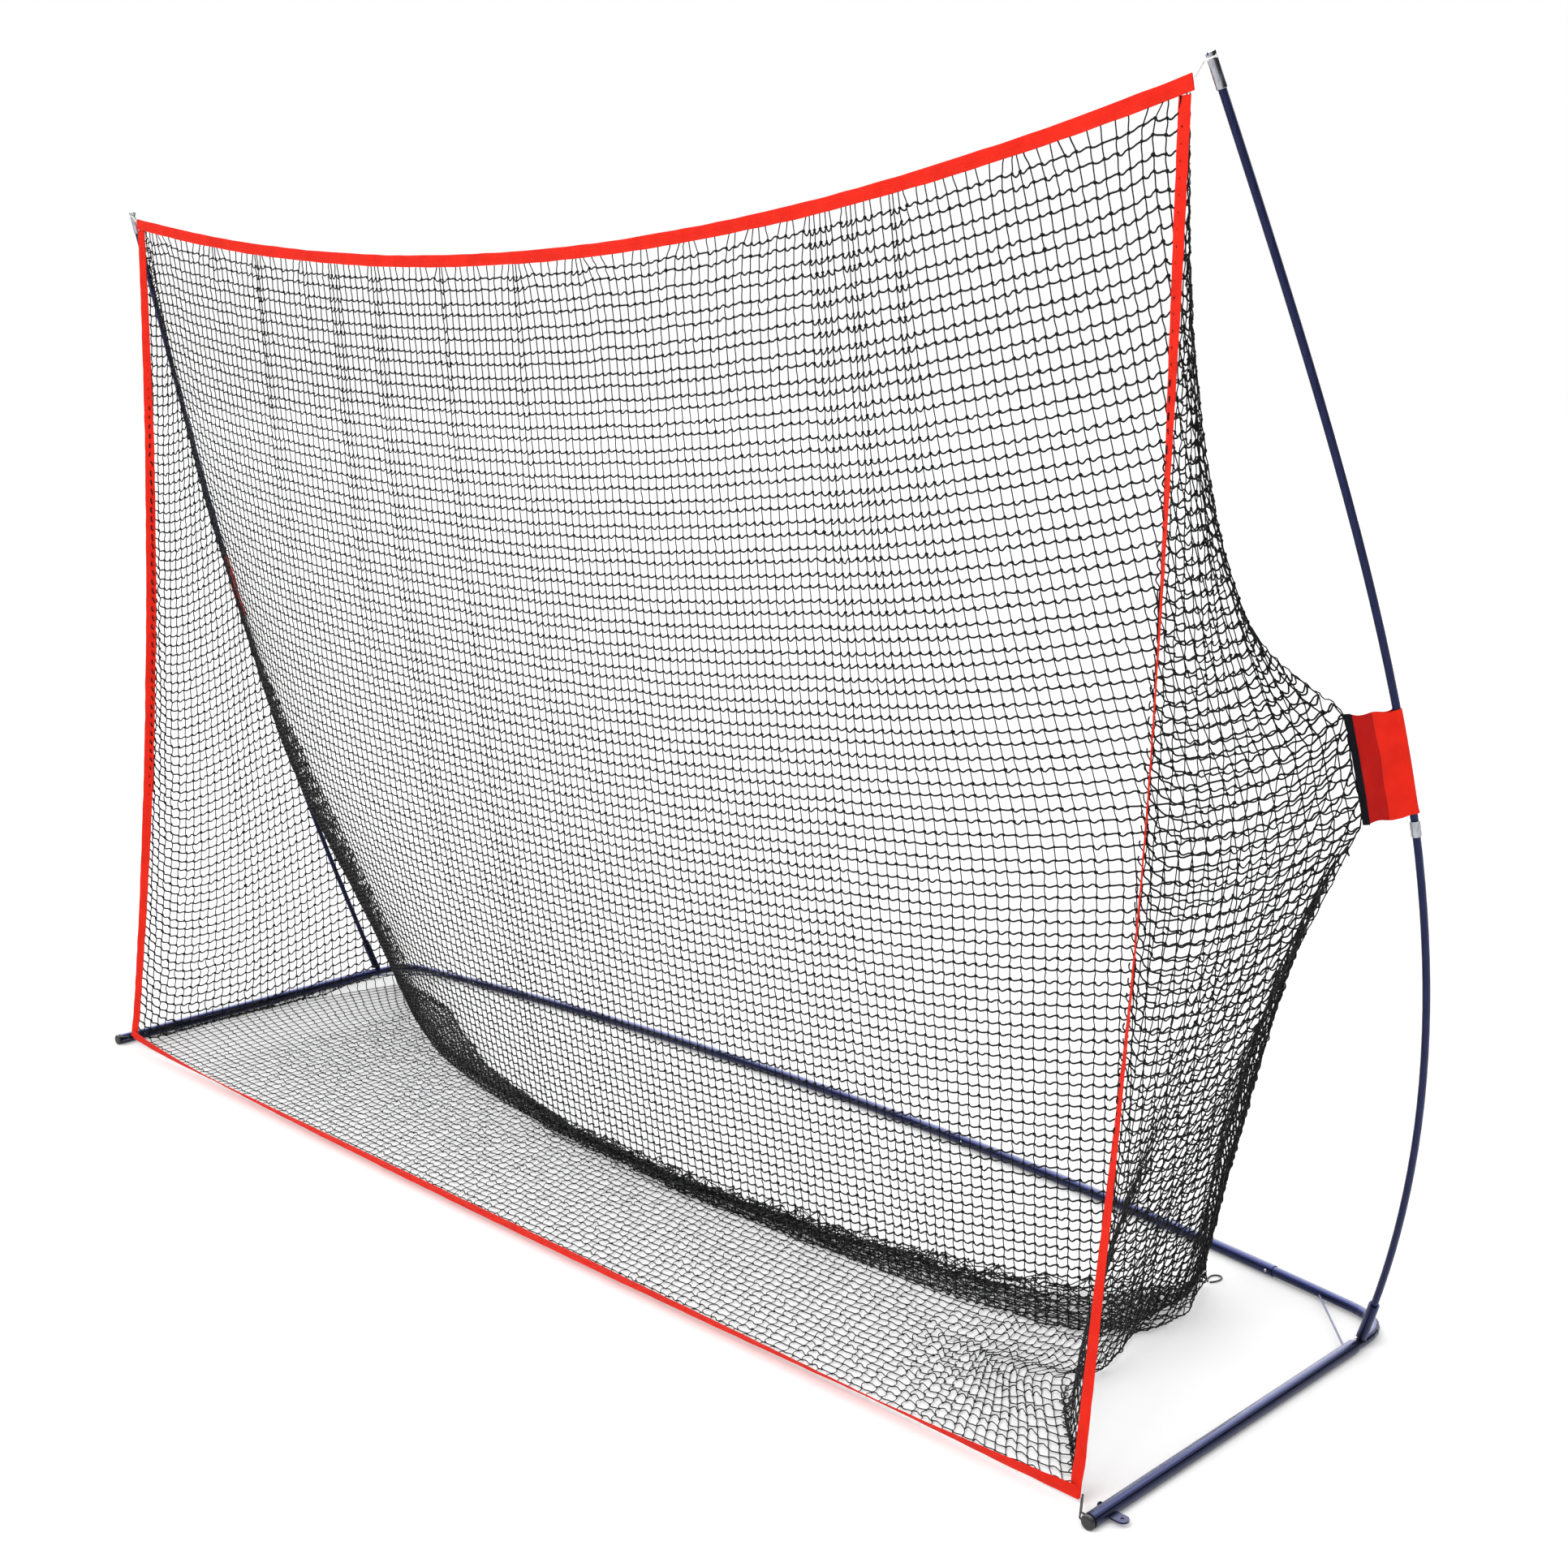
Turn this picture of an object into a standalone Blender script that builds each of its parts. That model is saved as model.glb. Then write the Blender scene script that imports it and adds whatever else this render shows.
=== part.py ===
"""Bow-pole practice net: a steel U base on the ground, two bowed poles and a hung netting bag.

Metres, +Z up, -Y towards the player, origin under the middle of the bounding box.
"""

import math

import bmesh
import bpy
import numpy as np
from mathutils import Vector

# Driving dimensions
GAP = 0.0003  # air between neighbouring solids
HALF_DEPTH = 0.532  # half the base, front cap face to the back of the rear bar
SIDE_TUBE_R = 0.0127
ELBOW_R = 0.0098  # also the swaged ends of the middle rear tube
REAR_TUBE_R = 0.0111
TUBE_WALL = 0.0008
FLOOR_Z = 0.0127  # centreline height of every base tube
FRONT_X = {"l": 1.535, "r": 1.595}  # front ends of the side tubes
CORNER_X = 1.578
SIDE_TUBE_BACK_Y = 0.262
ELBOW_IN_SIDE = 0.07
ELBOW_BEND = 0.085
BAR_END_X = 1.46  # the rear bar bows back between its two ends
BAR_END_Y = 0.406
BAR_BOW = 0.115
OUTER_JOINT_X = 1.31
INNER_JOINT_X = 0.437
JOINT_OVERLAP = 0.06
BUTTON_FROM_END = 0.013
BUTTON_R = 0.003
BUTTON_PROUD = 0.0025
BUTTON_STEM_IN = 0.0035  # where the stem's inner end lies, from the tube's axis
CAP_FLANGE = 0.0050
CAP_GROOVE = 0.0046
CAP_NECK_R = 0.0072
POLE_R = 0.00635
POLE_FOOT = (1.575, 0.289, 0.012)
POLE_LOW_PULL = (1.888, 0.131, 0.781)  # Bezier handle of the foot
POLE_TIP_XY = (1.570, -0.327)
POLE_TIP_Z = {"l": 2.091, "r": 2.154}
POLE_TOP_PULL = (0.170, 0.253, -0.747)  # Bezier handle of the tip, from the tip
POLE_START = 0.040  # lengths along the pole from its foot
SOCKET_START, SOCKET_END = 0.004, 0.098
FERRULE_START, FERRULE_END = 1.058, 1.0850
SLEEVE_START, SLEEVE_END = 1.0892, 1.273
CAP_BODY, CAP_NECK, CAP_HEAD = 0.042, 0.0045, 0.0065
CAP_NECK_CUT = 0.0028  # how far the neck is turned down from the cap's own radius
CAP_SLOT, CAP_SLOT_DEEP = 0.0024, 0.0042  # the crossed slots in its head
CAP_EYE_R = 0.0026
CAP_FLOOR = 0.0037
TAB_HALF, TAB_REACH, TAB_THICK, TAB_HOLE_R = 0.011, 0.028, 0.003, 0.003
TAB_FROM_FRONT = 0.042
SOCKET_R = 0.0096
FERRULE_R = 0.0083
CAP_R = 0.0083
BORE_SLACK = 0.0005
TAPE_WIDTH = 0.024
TAPE_THICK = 0.002
NET_THICK = 0.003
MOUTH = {  # corners of the net's front edge
    "top_l": (-1.547, -0.326, 2.072),
    "top_r": (1.544, -0.330, 2.128),
    "bottom_l": (-1.496, -0.506, 0.034),
    "bottom_r": (1.548, -0.483, 0.021),
}
TOP_SAG, TOP_BACK = 0.155, 0.030
EDGE_BACK = 0.030
BOTTOM_FRONT = 0.012
GROUND_LIE = 0.016  # height of the bottom tape's middle line
SLEEVE_FLAP = {  # from the pole to the netting side of each sleeve
    "l": (0.077, -0.043, -0.004),
    "r": (-0.039, -0.068, -0.006),
}
SLEEVE_THICK = 0.003
SLEEVE_WALL = 0.0012
BINDING_WIDTH = 0.010
SEAM = {  # side seams of the bag, from the top corner past the sleeve to the floor
    "l": [
        (-1.538, -0.310, 2.030), (-1.572, -0.262, 1.850), (-1.600, -0.212, 1.650), (-1.625, -0.160, 1.450),
        (-1.642, -0.112, 1.300), (-1.652, -0.074, 1.185), (-1.663, -0.031, 1.055),
        (-1.618, 0.050, 0.830), (-1.570, 0.140, 0.580), (-1.525, 0.222, 0.340), (-1.490, 0.300, 0.060),
    ],
    "r": [
        (1.528, -0.312, 2.085), (1.496, -0.245, 1.830), (1.491, -0.210, 1.660), (1.489, -0.175, 1.520),
        (1.524, -0.145, 1.385), (1.594, -0.122, 1.285), (1.682, -0.104, 1.195), (1.700, -0.062, 1.055),
        (1.632, -0.014, 0.945), (1.522, 0.050, 0.750), (1.436, 0.112, 0.564), (1.336, 0.180, 0.364),
        (1.252, 0.280, 0.050),
    ],
}
FLOOR_SEAM = [
    (-1.440, 0.262, 0.016), (-0.900, 0.070, 0.016), (-0.280, -0.045, 0.016), (0.330, -0.094, 0.016),
    (0.760, -0.020, 0.016), (1.110, 0.100, 0.016), (1.236, 0.290, 0.016),
]
FLOOR_SEAM_R = 0.011
ELASTIC_R = 0.0015
TIE_R = 0.0017
REAR_TIE_R = 0.0011
STAY_R = 0.0018
STAY_BAR_X, STAY_SIDE_Y = 1.426, 0.255  # where the corner stays meet the rear bar and the side tube
STAY_CLEAR = 0.0012
LOOP_SLACK = 0.0004  # between a loop and the neck it goes round

SIDES = {"l": -1, "r": 1}
PI = math.pi


def clear_scene():
    for obj in list(bpy.data.objects):
        bpy.data.objects.remove(obj, do_unlink=True)


def make_material(name, colour, roughness, metallic=0.0):
    """A Principled material with one colour."""
    mat = bpy.data.materials.new(name)
    mat.use_nodes = True
    shader = mat.node_tree.nodes["Principled BSDF"]
    shader.inputs["Base Color"].default_value = (*colour, 1.0)
    shader.inputs["Roughness"].default_value = roughness
    shader.inputs["Metallic"].default_value = metallic
    return mat


def add_object(name, data, mat):
    data.materials.append(mat)
    obj = bpy.data.objects.new(name, data)
    bpy.context.scene.collection.objects.link(obj)
    return obj


def add_mesh(name, verts, faces, mat, smooth=True):
    """An object from points and faces, with its normals facing out."""
    mesh = bpy.data.meshes.new(name)
    mesh.from_pydata([tuple(v) for v in verts], [], faces)
    bm = bmesh.new()
    bm.from_mesh(mesh)
    bmesh.ops.recalc_face_normals(bm, faces=bm.faces)
    bm.to_mesh(mesh)
    bm.free()
    if smooth:
        mesh.shade_smooth()
        mesh.set_sharp_from_angle(angle=math.radians(40))
    return add_object(name, mesh, mat)


def block(name, centre, edges, mat):
    """A six-sided solid from its three half edges."""
    verts = [centre + edges[0] * i + edges[1] * j + edges[2] * k for i in (-1, 1) for j in (-1, 1) for k in (-1, 1)]
    faces = [(0, 1, 3, 2), (4, 6, 7, 5), (0, 4, 5, 1), (2, 3, 7, 6), (0, 2, 6, 4), (1, 5, 7, 3)]
    return add_mesh(name, verts, faces, mat, False)


def difference(obj, cutter):
    """Cuts the hidden cutter out of obj."""
    cutter.hide_render = True
    cutter.display_type = "WIRE"
    cut = obj.modifiers.new("cut_" + cutter.name, "BOOLEAN")
    cut.operation = "DIFFERENCE"
    cut.solver = "EXACT"
    cut.object = cutter


# Curves


def smooth_curve(points, count):
    """count points on a Catmull-Rom curve through the given points, evenly spaced."""
    knots = [Vector(p) for p in points]
    knots = [2 * knots[0] - knots[1], *knots, 2 * knots[-1] - knots[-2]]
    fine = []
    for a, b, c, d in zip(knots, knots[1:], knots[2:], knots[3:]):
        for step in range(16):
            t = step / 16
            bend, twist = 2 * a - 5 * b + 4 * c - d, 3 * b - a - 3 * c + d
            fine.append(
                0.5 * (2 * b + (c - a) * t + bend * t**2 + twist * t**3)
            )
    fine.append(knots[-2])
    return evenly(fine, count)


def evenly(points, count):
    """count points at equal steps along a polyline."""
    return [point_along(points, length_of(points) * i / (count - 1)) for i in range(count)]


def length_of(points):
    return sum((b - a).length for a, b in zip(points, points[1:]))


def point_along(points, distance):
    for a, b in zip(points, points[1:]):
        step = (b - a).length
        if distance <= step:
            return a.lerp(b, distance / step)
        distance -= step
    return points[-1].copy()


def stretch_of(points, start, end, count):
    """The part of a polyline between two distances along it."""
    return [point_along(points, start + (end - start) * i / (count - 1)) for i in range(count)]


def bezier(handles, count):
    a, b, c, d = (Vector(h) for h in handles)
    found = []
    for i in range(count):
        t = i / (count - 1)
        found.append(a * (1 - t) ** 3 + b * 3 * t * (1 - t) ** 2 + c * 3 * t**2 * (1 - t) + d * t**3)
    return found


def pole_line(side):
    """Centreline of a bowed pole, foot to tip."""
    sign = SIDES[side]
    tip = Vector((*POLE_TIP_XY, POLE_TIP_Z[side]))
    handles = [Vector(POLE_FOOT), Vector(POLE_LOW_PULL), tip + Vector(POLE_TOP_PULL), tip]
    return bezier([(sign * h.x, h.y, h.z) for h in handles], 401)


def bar_y(x):
    """The rear bar bows back in the middle."""
    return BAR_END_Y + BAR_BOW * (1 - (x / BAR_END_X) ** 2)


def bar_line(x0, x1, count):
    return [Vector((x, bar_y(x), FLOOR_Z)) for x in np.linspace(x0, x1, count)]


def side_line_x(side, y):
    """A side tube toes in or out a little between its corner and its front end."""
    share = (SIDE_TUBE_BACK_Y - y) / (SIDE_TUBE_BACK_Y + HALF_DEPTH)
    return SIDES[side] * (CORNER_X + (FRONT_X[side] - CORNER_X) * share)


def elbow_line(side):
    """From inside the side tube, round the corner, into the rear tube."""
    sign = SIDES[side]
    start_y = SIDE_TUBE_BACK_Y - ELBOW_IN_SIDE
    start = Vector((side_line_x(side, start_y), start_y, FLOOR_Z))
    mouth = Vector((side_line_x(side, SIDE_TUBE_BACK_Y), SIDE_TUBE_BACK_Y, FLOOR_Z))
    slope = 2 * BAR_BOW / BAR_END_X
    corner = Vector((sign * CORNER_X, BAR_END_Y - (CORNER_X - BAR_END_X) * slope, FLOOR_Z))
    leaving = Vector((sign * BAR_END_X, BAR_END_Y, FLOOR_Z))
    into = corner + (mouth - corner).normalized() * ELBOW_BEND
    out = corner + (leaving - corner).normalized() * ELBOW_BEND
    bend = [into * (1 - t) ** 2 + corner * 2 * t * (1 - t) + out * t**2 for t in np.linspace(0, 1, 9)]
    leg = bar_line(sign * (BAR_END_X - 0.02), sign * (OUTER_JOINT_X - JOINT_OVERLAP), 5)
    return [start, mouth, *bend, *leg]


# Solids


def frames_along(points):
    """A tangent, a side and an up vector at each point, with no twist."""
    tangents = []
    for i in range(len(points)):
        before = points[max(i - 1, 0)]
        after = points[min(i + 1, len(points) - 1)]
        tangents.append((after - before).normalized())
    helper = Vector((0, 0, 1)) if abs(tangents[0].z) < 0.9 else Vector((1, 0, 0))
    side = tangents[0].cross(helper).normalized()
    found = []
    for tangent in tangents:
        side = (side - tangent * side.dot(tangent)).normalized()
        found.append((tangent, side, tangent.cross(side)))
    return found


def rings(points, radii, sides):
    """One ring of points round each point of a line."""
    found = []
    for point, radius, (_, across, up) in zip(points, radii, frames_along(points)):
        for k in range(sides):
            turn = 2 * PI * k / sides
            found.append(point + across * (radius * math.cos(turn)) + up * (radius * math.sin(turn)))
    return found


def ring_faces(count, sides, first=0):
    """Quads that join count rings in a row."""
    faces = []
    for i in range(count - 1):
        for k in range(sides):
            a = first + i * sides + k
            b = first + i * sides + (k + 1) % sides
            faces.append((a, b, b + sides, a + sides))
    return faces


def pipe(name, points, outer, bore, mat, sides=16):
    """A tube open at both ends. outer is one radius or one for each point."""
    radii = outer if isinstance(outer, list) else [outer] * len(points)
    bores = bore if isinstance(bore, list) else [bore] * len(points)
    count = len(points)
    verts = rings(points, radii, sides) + rings(points, bores, sides)
    inner = count * sides
    faces = ring_faces(count, sides) + ring_faces(count, sides, inner)
    for end in (0, (count - 1) * sides):
        for k in range(sides):
            n = (k + 1) % sides
            faces.append((end + k, end + n, inner + end + n, inner + end + k))
    return add_mesh(name, verts, faces, mat)


def rod(name, points, radius, mat, sides=12):
    """A solid round bar along a line."""
    radii = radius if isinstance(radius, list) else [radius] * len(points)
    last = (len(points) - 1) * sides
    faces = ring_faces(len(points), sides)
    faces.append(tuple(range(sides)))
    faces.append(tuple(range(last, last + sides)))
    return add_mesh(name, rings(points, radii, sides), faces, mat)


def turned(name, base, direction, profile, mat, sides=20):
    """A solid of revolution: profile is (distance along direction, radius), closed on its axis."""
    axis = direction.normalized()
    points = [base + axis * along for along, _ in profile]
    radii = [radius for _, radius in profile]
    helper = Vector((0, 0, 1)) if abs(axis.z) < 0.9 else Vector((1, 0, 0))
    across = axis.cross(helper).normalized()
    up = axis.cross(across)
    verts = []
    for point, radius in zip(points, radii):
        for k in range(sides):
            turn = 2 * PI * k / sides
            verts.append(point + across * (radius * math.cos(turn)) + up * (radius * math.sin(turn)))
    last = (len(points) - 1) * sides
    faces = ring_faces(len(points), sides)
    faces.append(tuple(range(sides)))
    faces.append(tuple(range(last, last + sides)))
    return add_mesh(name, verts, faces, mat)


def cord(name, points, radius, mat):
    """A thin cord: a bevelled poly curve with filled caps."""
    curve = bpy.data.curves.new(name, "CURVE")
    curve.dimensions = "3D"
    curve.bevel_depth = radius
    curve.bevel_resolution = 2
    curve.use_fill_caps = True
    spline = curve.splines.new("POLY")
    spline.points.add(len(points) - 1)
    for target, point in zip(spline.points, points):
        target.co = (*point, 1.0)
    return add_object(name, curve, mat)


def sheet(name, grid, thick, mat):
    """A closed thin sheet round a grid of middle points."""
    grid = np.array([[tuple(p) for p in row] for row in grid])
    rows, cols = grid.shape[:2]
    along = np.gradient(grid, axis=0)
    across = np.gradient(grid, axis=1)
    normal = np.cross(along, across)
    normal /= np.linalg.norm(normal, axis=2, keepdims=True)
    front = (grid + normal * thick / 2).reshape(-1, 3)
    back = (grid - normal * thick / 2).reshape(-1, 3)
    far = rows * cols
    faces = []
    for i in range(rows - 1):
        for j in range(cols - 1):
            a = i * cols + j
            faces.append((a, a + 1, a + cols + 1, a + cols))
            faces.append((far + a, far + a + cols, far + a + cols + 1, far + a + 1))
    rim = [j for j in range(cols)]
    rim += [i * cols + cols - 1 for i in range(1, rows)]
    rim += [(rows - 1) * cols + j for j in range(cols - 2, -1, -1)]
    rim += [i * cols for i in range(rows - 2, 0, -1)]
    for a, b in zip(rim, rim[1:] + rim[:1]):
        faces.append((a, b, far + b, far + a))
    return add_mesh(name, np.concatenate([front, back]), faces, mat)


def ribbon(name, points, turns, mat, outer=0.0):
    """A flat tape along a line. turns is the direction of its width at each point."""
    half = TAPE_WIDTH / 2
    grid = [[p + w * (outer - half), p + w * (outer + half)] for p, w in zip(points, turns)]
    return sheet(name, grid, TAPE_THICK, mat)


# The base


def side_tube(side, mats):
    front = Vector((side_line_x(side, -HALF_DEPTH), -HALF_DEPTH + CAP_FLANGE + CAP_GROOVE, FLOOR_Z))
    back = Vector((side_line_x(side, SIDE_TUBE_BACK_Y), SIDE_TUBE_BACK_Y, FLOOR_Z))
    points = [front.lerp(back, t) for t in (0, 0.25, 0.5, 0.75, 1)]
    pipe(f"side_tube_{side}", points, SIDE_TUBE_R, SIDE_TUBE_R - TUBE_WALL, mats["paint"], 24)
    return front, (back - front).normalized()


def end_cap(side, front, inward, mats):
    """A moulded plug with a groove that the net's corner loop hooks into."""
    plug = SIDE_TUBE_R - TUBE_WALL - 2 * GAP - 0.0003
    profile = [
        (-CAP_GROOVE - CAP_FLANGE, 0.0070),
        (-CAP_GROOVE - CAP_FLANGE + 0.0012, 0.0112),
        (-CAP_GROOVE - CAP_FLANGE + 0.0030, SIDE_TUBE_R),
        (-CAP_GROOVE, SIDE_TUBE_R),
        (-CAP_GROOVE, CAP_NECK_R),
        (GAP, CAP_NECK_R),
        (GAP + 0.0004, plug),
        (0.022, plug),
        (0.024, plug - 0.0015),
    ]
    turned(f"front_end_cap_{side}", front, inward, profile, mats["moulding"], 24)


def elbow(side, mats):
    pipe(f"corner_elbow_{side}", elbow_line(side), ELBOW_R, ELBOW_R - TUBE_WALL, mats["paint"], 16)


def rear_tubes(mats):
    """Two outer tubes that take the elbows, and a middle tube with swaged ends."""
    wall = REAR_TUBE_R - TUBE_WALL
    for side, sign in SIDES.items():
        points = bar_line(sign * INNER_JOINT_X, sign * OUTER_JOINT_X, 9)
        pipe(f"rear_tube_{side}", points, REAR_TUBE_R, wall, mats["paint"], 24)
    swage = INNER_JOINT_X - 0.004
    half = [0.0, 0.15, 0.3, swage, INNER_JOINT_X - 0.0015, INNER_JOINT_X + JOINT_OVERLAP]
    xs = [-x for x in reversed(half[1:])] + half
    points = [Vector((x, bar_y(x), FLOOR_Z)) for x in xs]
    radii = [REAR_TUBE_R if abs(x) <= swage else ELBOW_R for x in xs]
    bores = [r - TUBE_WALL for r in radii]
    pipe("rear_tube_middle", points, radii, bores, mats["paint"], 24)


def snap_joint(name, x, outer_tube, inner_tube, mats):
    """A spring button through two tubes. Its body slides in along the button's axis."""
    centre = Vector((x, bar_y(x), FLOOR_Z))
    tangent = (Vector((x + 0.01, bar_y(x + 0.01), FLOOR_Z)) - centre).normalized()
    axis = Vector((0, 0, 1)).cross(tangent).normalized()
    if axis.y > 0:
        axis = -axis
    hole = BUTTON_R + 0.0006
    for tube in (outer_tube, inner_tube):
        profile = [(0.003, hole), (0.020, hole)]
        cutter = turned(f"hole_{name}_{tube}", centre, axis, profile, mats["steel"], 16)
        difference(bpy.data.objects[tube], cutter)
    top = REAR_TUBE_R + BUTTON_PROUD
    profile = [
        (BUTTON_STEM_IN, BUTTON_R), (top - 0.0018, BUTTON_R), (top - 0.0009, BUTTON_R * 0.86),
        (top - 0.0003, BUTTON_R * 0.55), (top, BUTTON_R * 0.2),
    ]
    button = turned(f"snap_button_{name}", Vector((0, 0, 0)), Vector((0, 0, 1)), profile, mats["steel"], 16)
    button.location = centre
    button.rotation_mode = "QUATERNION"
    button.rotation_quaternion = axis.to_track_quat("Z", "Y")
    leg = BUTTON_STEM_IN - GAP - 0.0003
    inward = -1 if x > 0 else 1
    spine = [(0.006, leg), (-0.006, leg), (-0.030, -0.0035), (-0.033, -0.0050), (-0.030, -0.0066), (0.004, -0.0066)]
    grid = []
    for along, out in spine:
        middle = centre + tangent * (inward * -along) + axis * out
        grid.append([middle + Vector((0, 0, w)) for w in (-0.0022, 0.0022)])
    sheet(f"button_spring_{name}", grid, 0.0005, mats["steel"])
    return axis


def rear_bar(mats):
    rear_tubes(mats)
    outer_x, inner_x = OUTER_JOINT_X - BUTTON_FROM_END, INNER_JOINT_X + BUTTON_FROM_END
    for side, sign in SIDES.items():
        tube = f"rear_tube_{side}"
        snap_joint(f"outer_{side}", sign * outer_x, tube, f"corner_elbow_{side}", mats)
        snap_joint(f"inner_{side}", sign * inner_x, tube, "rear_tube_middle", mats)


def stake_tab(side, front, inward, mats):
    """A flat lug with a stake hole on the outer side, and the head of its rivet on the inner side."""
    sign = SIDES[side]
    out = Vector((sign, 0, 0))
    place = front + inward * TAB_FROM_FRONT
    root = place + out * (SIDE_TUBE_R + GAP) - Vector((0, 0, 0.0042))
    middle = TAB_REACH - TAB_HALF
    outline = [(0, -TAB_HALF), (0, TAB_HALF)]
    outline += [(middle + TAB_HALF * math.sin(a), TAB_HALF * math.cos(a)) for a in np.linspace(0, PI, 13)]
    turns = np.linspace(0, 2 * PI, 17)[:-1]
    hole = [(middle + TAB_HOLE_R * math.cos(a), TAB_HOLE_R * math.sin(a)) for a in turns]
    bm = bmesh.new()
    loops = []
    for loop in (outline, hole):
        verts = [bm.verts.new(root + out * a + inward * b) for a, b in loop]
        loops += [bm.edges.new((p, q)) for p, q in zip(verts, verts[1:] + verts[:1])]
    bmesh.ops.triangle_fill(bm, edges=loops, use_beauty=True)
    grown = bmesh.ops.extrude_face_region(bm, geom=bm.faces[:])
    lifted = [item for item in grown["geom"] if isinstance(item, bmesh.types.BMVert)]
    bmesh.ops.translate(bm, verts=lifted, vec=(0, 0, TAB_THICK))
    bmesh.ops.recalc_face_normals(bm, faces=bm.faces)
    mesh = bpy.data.meshes.new(f"stake_tab_{side}")
    bm.to_mesh(mesh)
    bm.free()
    add_object(f"stake_tab_{side}", mesh, mats["paint"])
    head = [(0, 0.0056), (0.0016, 0.0055), (0.0032, 0.0043), (0.0042, 0.0024), (0.0045, 0.0008)]
    base = place - out * (SIDE_TUBE_R + GAP) * 0.94 + Vector((0, 0, 0.0035))
    knob = turned(f"hook_rivet_{side}", base, -out, head, mats["paint"], 16)
    length = [front - inward * 0.01, front + inward * 0.12]
    tube_room = rod(f"room_{side}_rivet", length, SIDE_TUBE_R + GAP, mats["paint"], 48)
    difference(knob, tube_room)


# The poles


def pole(side, mats):
    line = pole_line(side)
    total = length_of(line)
    cap_start = total - CAP_HEAD - CAP_NECK - CAP_BODY
    middle = (FERRULE_START + FERRULE_END) / 2
    rod(f"pole_lower_{side}", stretch_of(line, POLE_START, middle - GAP, 23), POLE_R, mats["pole"])
    upper = stretch_of(line, middle + GAP, cap_start + CAP_BODY - CAP_FLOOR - GAP, 23)
    rod(f"pole_upper_{side}", upper, POLE_R, mats["pole"])
    ferrule = stretch_of(line, FERRULE_START, FERRULE_END, 4)
    pipe(f"pole_ferrule_{side}", ferrule, FERRULE_R, POLE_R + BORE_SLACK, mats["silver"], 20)
    top_cap(side, line, cap_start, mats)
    socket(side, line, mats)
    return line


def top_cap(side, line, start, mats):
    """A turned cap over the pole's end, with a neck for the net's corner loop."""
    foot = point_along(line, start)
    axis = (line[-1] - foot).normalized()
    bore = POLE_R + BORE_SLACK
    neck = CAP_R - CAP_NECK_CUT
    length = CAP_BODY + CAP_NECK + CAP_HEAD
    outside = [
        (0, CAP_R - 0.0005), (0.0008, CAP_R), (CAP_BODY, CAP_R), (CAP_BODY, neck), (CAP_BODY + CAP_NECK, neck),
        (CAP_BODY + CAP_NECK, CAP_R), (length - 0.0010, CAP_R), (length, CAP_R - 0.0012),
    ]
    cap = turned(f"pole_top_cap_{side}", foot, axis, outside, mats["silver"], 24)
    room = [(-0.005, bore), (CAP_BODY - CAP_FLOOR, bore)]
    eye = [(length - CAP_SLOT_DEEP - 3 * GAP, CAP_EYE_R), (length + 0.004, CAP_EYE_R)]
    for kind, profile in (("bore", room), ("eye", eye)):
        difference(cap, turned(f"{kind}_{side}_cap", foot, axis, profile, mats["silver"], 24))
    across = axis.cross(Vector((0, 1, 0))).normalized()
    up = axis.cross(across)
    middle = foot + axis * length
    for number, (wide, narrow) in enumerate(((across, up), (up, across))):
        edges = (wide * (CAP_R + 0.002), narrow * (CAP_SLOT / 2), axis * (CAP_SLOT_DEEP + number * GAP))
        difference(cap, block(f"slot_{side}_{number}", middle, edges, mats["silver"]))


def socket(side, line, mats):
    """The stub that holds the pole's foot, fish-mouthed onto the side tube."""
    points = stretch_of(line, SOCKET_START, SOCKET_END, 4)
    stub = pipe(f"pole_socket_{side}", points, SOCKET_R, POLE_R + BORE_SLACK, mats["paint"], 20)
    back = Vector((side_line_x(side, SIDE_TUBE_BACK_Y + 0.12), SIDE_TUBE_BACK_Y + 0.12, FLOOR_Z))
    ahead = Vector((side_line_x(side, 0.1), 0.1, FLOOR_Z))
    tube_room = rod(f"room_{side}_socket", [ahead, back], SIDE_TUBE_R + GAP, mats["paint"], 48)
    difference(stub, tube_room)


def corner_stay(side, mats):
    """A thin rod across the inside of the corner."""
    sign = SIDES[side]
    at_bar = Vector((sign * STAY_BAR_X, bar_y(STAY_BAR_X) - ELBOW_R - STAY_R - 2 * GAP, FLOOR_Z))
    at_side = Vector((sign * (CORNER_X - SIDE_TUBE_R - STAY_R - STAY_CLEAR), STAY_SIDE_Y, FLOOR_Z))
    rod(f"corner_stay_{side}", [at_bar.lerp(at_side, t) for t in (0, 0.5, 1)], STAY_R, mats["paint"], 10)


# The net


def mouth_top(t):
    left, right = Vector(MOUTH["top_l"]), Vector(MOUTH["top_r"])
    bulge = 4 * t * (1 - t)
    return left.lerp(right, t) + Vector((0, TOP_BACK * bulge, -TOP_SAG * bulge))


def mouth_bottom(t):
    left, right = Vector(MOUTH["bottom_l"]), Vector(MOUTH["bottom_r"])
    point = left.lerp(right, t) + Vector((0, -BOTTOM_FRONT * 4 * t * (1 - t), 0))
    rise = math.exp(-t / 0.05) + math.exp(-(1 - t) / 0.05)
    point.z = GROUND_LIE + (point.z - GROUND_LIE) * min(rise, 1)
    return point


def mouth_side(side, t):
    top, bottom = Vector(MOUTH[f"top_{side}"]), Vector(MOUTH[f"bottom_{side}"])
    return top.lerp(bottom, t) + Vector((0, EDGE_BACK * 4 * t * (1 - t), 0))


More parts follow.
